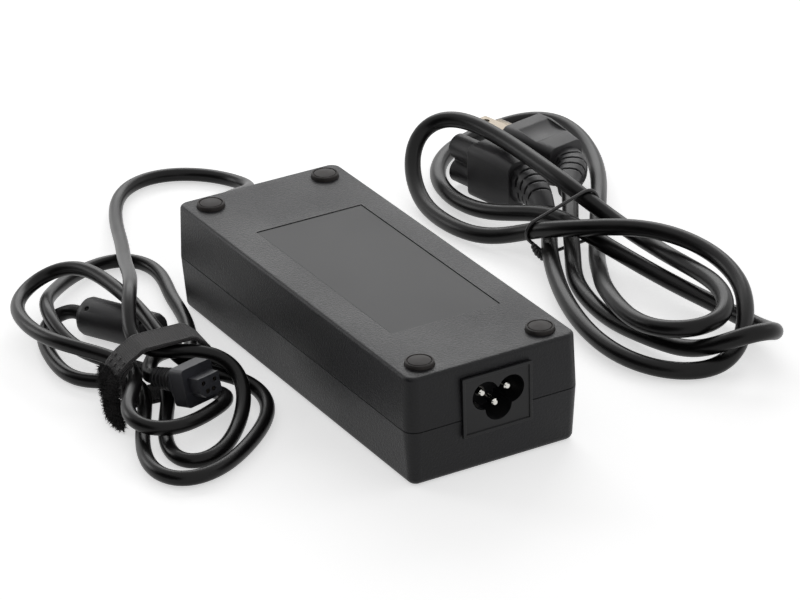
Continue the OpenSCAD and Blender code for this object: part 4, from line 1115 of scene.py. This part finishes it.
class ADAPTER_OT_finishes(bpy.types.Operator):
    """Housing, mouldings and metal parts with their finishes"""

    bl_idname = "adapter.finishes"
    bl_label = "Finishes"

    def execute(self, context):
        look = context.scene.adapter_housing
        # Spark-textured ABS: a fine even pebble that breaks up the light, with painted shade
        # darkening its pits
        shell = grained(
            "abs_spark_texture", look.shell_pit_shade, look.shell, 0.43, look.grain, 0.15,
            patch=45, specular=0.26, ease=0.15,
        )
        # Over-moulded soft PVC: satin, with slight flow marks
        moulding = grained(
            "pvc_moulding", "#1a191b", "#29282a", 0.52, 0.5, 0.02, patch=14, ease=0.6
        )
        # Glass-filled nylon: cool dark grey, nearly matt
        nylon = grained("plug_nylon", "#1d1e23", "#282930", 0.48, 0.35, 0.012, patch=8)
        # Inlet in smooth PBT: darker and glossier than the shell
        pbt = grained(
            "inlet_pbt", "#111112", "#19191b", 0.36, 0.4, 0.006, patch=12, specular=0.3
        )
        # Ground rubber feet: brown-black, matt, with powdery wear
        rubber = grained("foot_rubber", "#1b1817", "#2e2927", 0.7, 0.5, 0.03, patch=4)
        # Smooth matt film of the label, left bare
        label = grained(
            "label_film", "#131315", "#18181a", 0.5, 0.5, 0.004, spread=0.015,
            patch=25, specular=0.31,
        )
        # Nickel plate: bright, with faint drawing lines
        nickel = metal("nickel_plate", "#bdbbb6", "#e2e0da", 0.16)
        # Plated contacts deep in their holes: dull, dark bronze
        contact = metal("dull_contact", "#4a443c", "#6a6154", 0.4)
        # Plug blades: nickel worn towards its brass, brushed by many sockets
        blade = metal("worn_nickel", "#6d6458", "#8c8375", 0.34)
        skins = (
            ("adapter", shell, "housing", 30, ("label_shell", "plain_shell")),
            ("adapter", pbt, "inlet_plastic", 30, ("inlet_body",)),
            ("adapter", moulding, "moulding", 40, (
                "output_strain_relief", "choke_cover", "dc_plug_boot",
            )),
            ("adapter", nylon, "plug_plastic", 25, ("dc_plug_block", "dc_plug_nose")),
            ("adapter", contact, "contact_brass", 40, ("dc_plug_contacts",)),
            ("adapter", nickel, "nickel", 40, (
                "inlet_live_pin", "inlet_neutral_pin", "inlet_earth_pin",
            )),
            ("mains_lead", moulding, "moulding", 35, (
                "mains_connector", "connector_relief", "mains_plug", "plug_relief",
            )),
            ("mains_lead", blade, "nickel", 40, ("plug_blades", "plug_ground_pin")),
            ("mains_lead", contact, "contact_brass", 40, ("connector_contacts",)),
        )
        for body, mat, slot, limit, names in skins:
            for name in names:
                finished(name, body, mat, limit)
        for name in FEET:
            turned(
                f"{name}_pad", "adapter", [rubber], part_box(name), FOOT_RING, (name,),
            )
        inside = {
            label: ("rating_label",),
            metal("zinc_screw", "#9b9b98", "#b5b5b0", 0.3): ("cover_screws",),
            metal("aluminium_sink", "#b4b6b8", "#c8cacc", 0.35): (
                "primary_heat_sink", "secondary_heat_sink",
            ),
            metal("copper_wire", "#a8562b", "#c06c3a", 0.3): ("line_choke_winding",),
        }
        for row in INNER_PARTS:
            *values, patch, names = row
            inside[grained(*values, patch=patch)] = names
        for mat, names in inside.items():
            for name in names:
                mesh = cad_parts[name].data
                mesh.materials.clear()
                mesh.materials.append(mat)
        return {"FINISHED"}


class ADAPTER_PT_panel(bpy.types.Panel):
    """Lists the adapter's sizes, colours and pieces"""

    bl_label = "Laptop power adapter"
    bl_idname = "ADAPTER_PT_panel"
    bl_space_type = "VIEW_3D"
    bl_region_type = "UI"
    bl_category = "Adapter"

    def draw(self, context):
        scene = context.scene
        for group in (scene.adapter_housing, scene.adapter_leads, scene.adapter_stage):
            box = self.layout.box()
            for name in group.__annotations__:
                box.prop(group, name)
        for op in OPERATORS:
            self.layout.operator(op.bl_idname)


OPERATORS = (
    ADAPTER_OT_stage,
    ADAPTER_OT_finishes,
    ADAPTER_OT_strap,
    ADAPTER_OT_tie,
    ADAPTER_OT_output_cord,
    ADAPTER_OT_mains_cord,
)
GROUPS = {
    "adapter_housing": HousingLook,
    "adapter_leads": LeadLook,
    "adapter_stage": StageLook,
}


def register():
    for cls in (*GROUPS.values(), *OPERATORS, ADAPTER_PT_panel):
        bpy.utils.register_class(cls)
    for name, cls in GROUPS.items():
        setattr(bpy.types.Scene, name, bpy.props.PointerProperty(type=cls))


def unregister():
    for name in GROUPS:
        delattr(bpy.types.Scene, name)
    for cls in (ADAPTER_PT_panel, *reversed(OPERATORS), *reversed(GROUPS.values())):
        bpy.utils.unregister_class(cls)


def main():
    register()
    bpy.context.scene.view_settings.view_transform = "Standard"
    for op in OPERATORS:
        group, name = op.bl_idname.split(".")
        getattr(getattr(bpy.ops, group), name)()


if __name__ == "__main__":
    main()
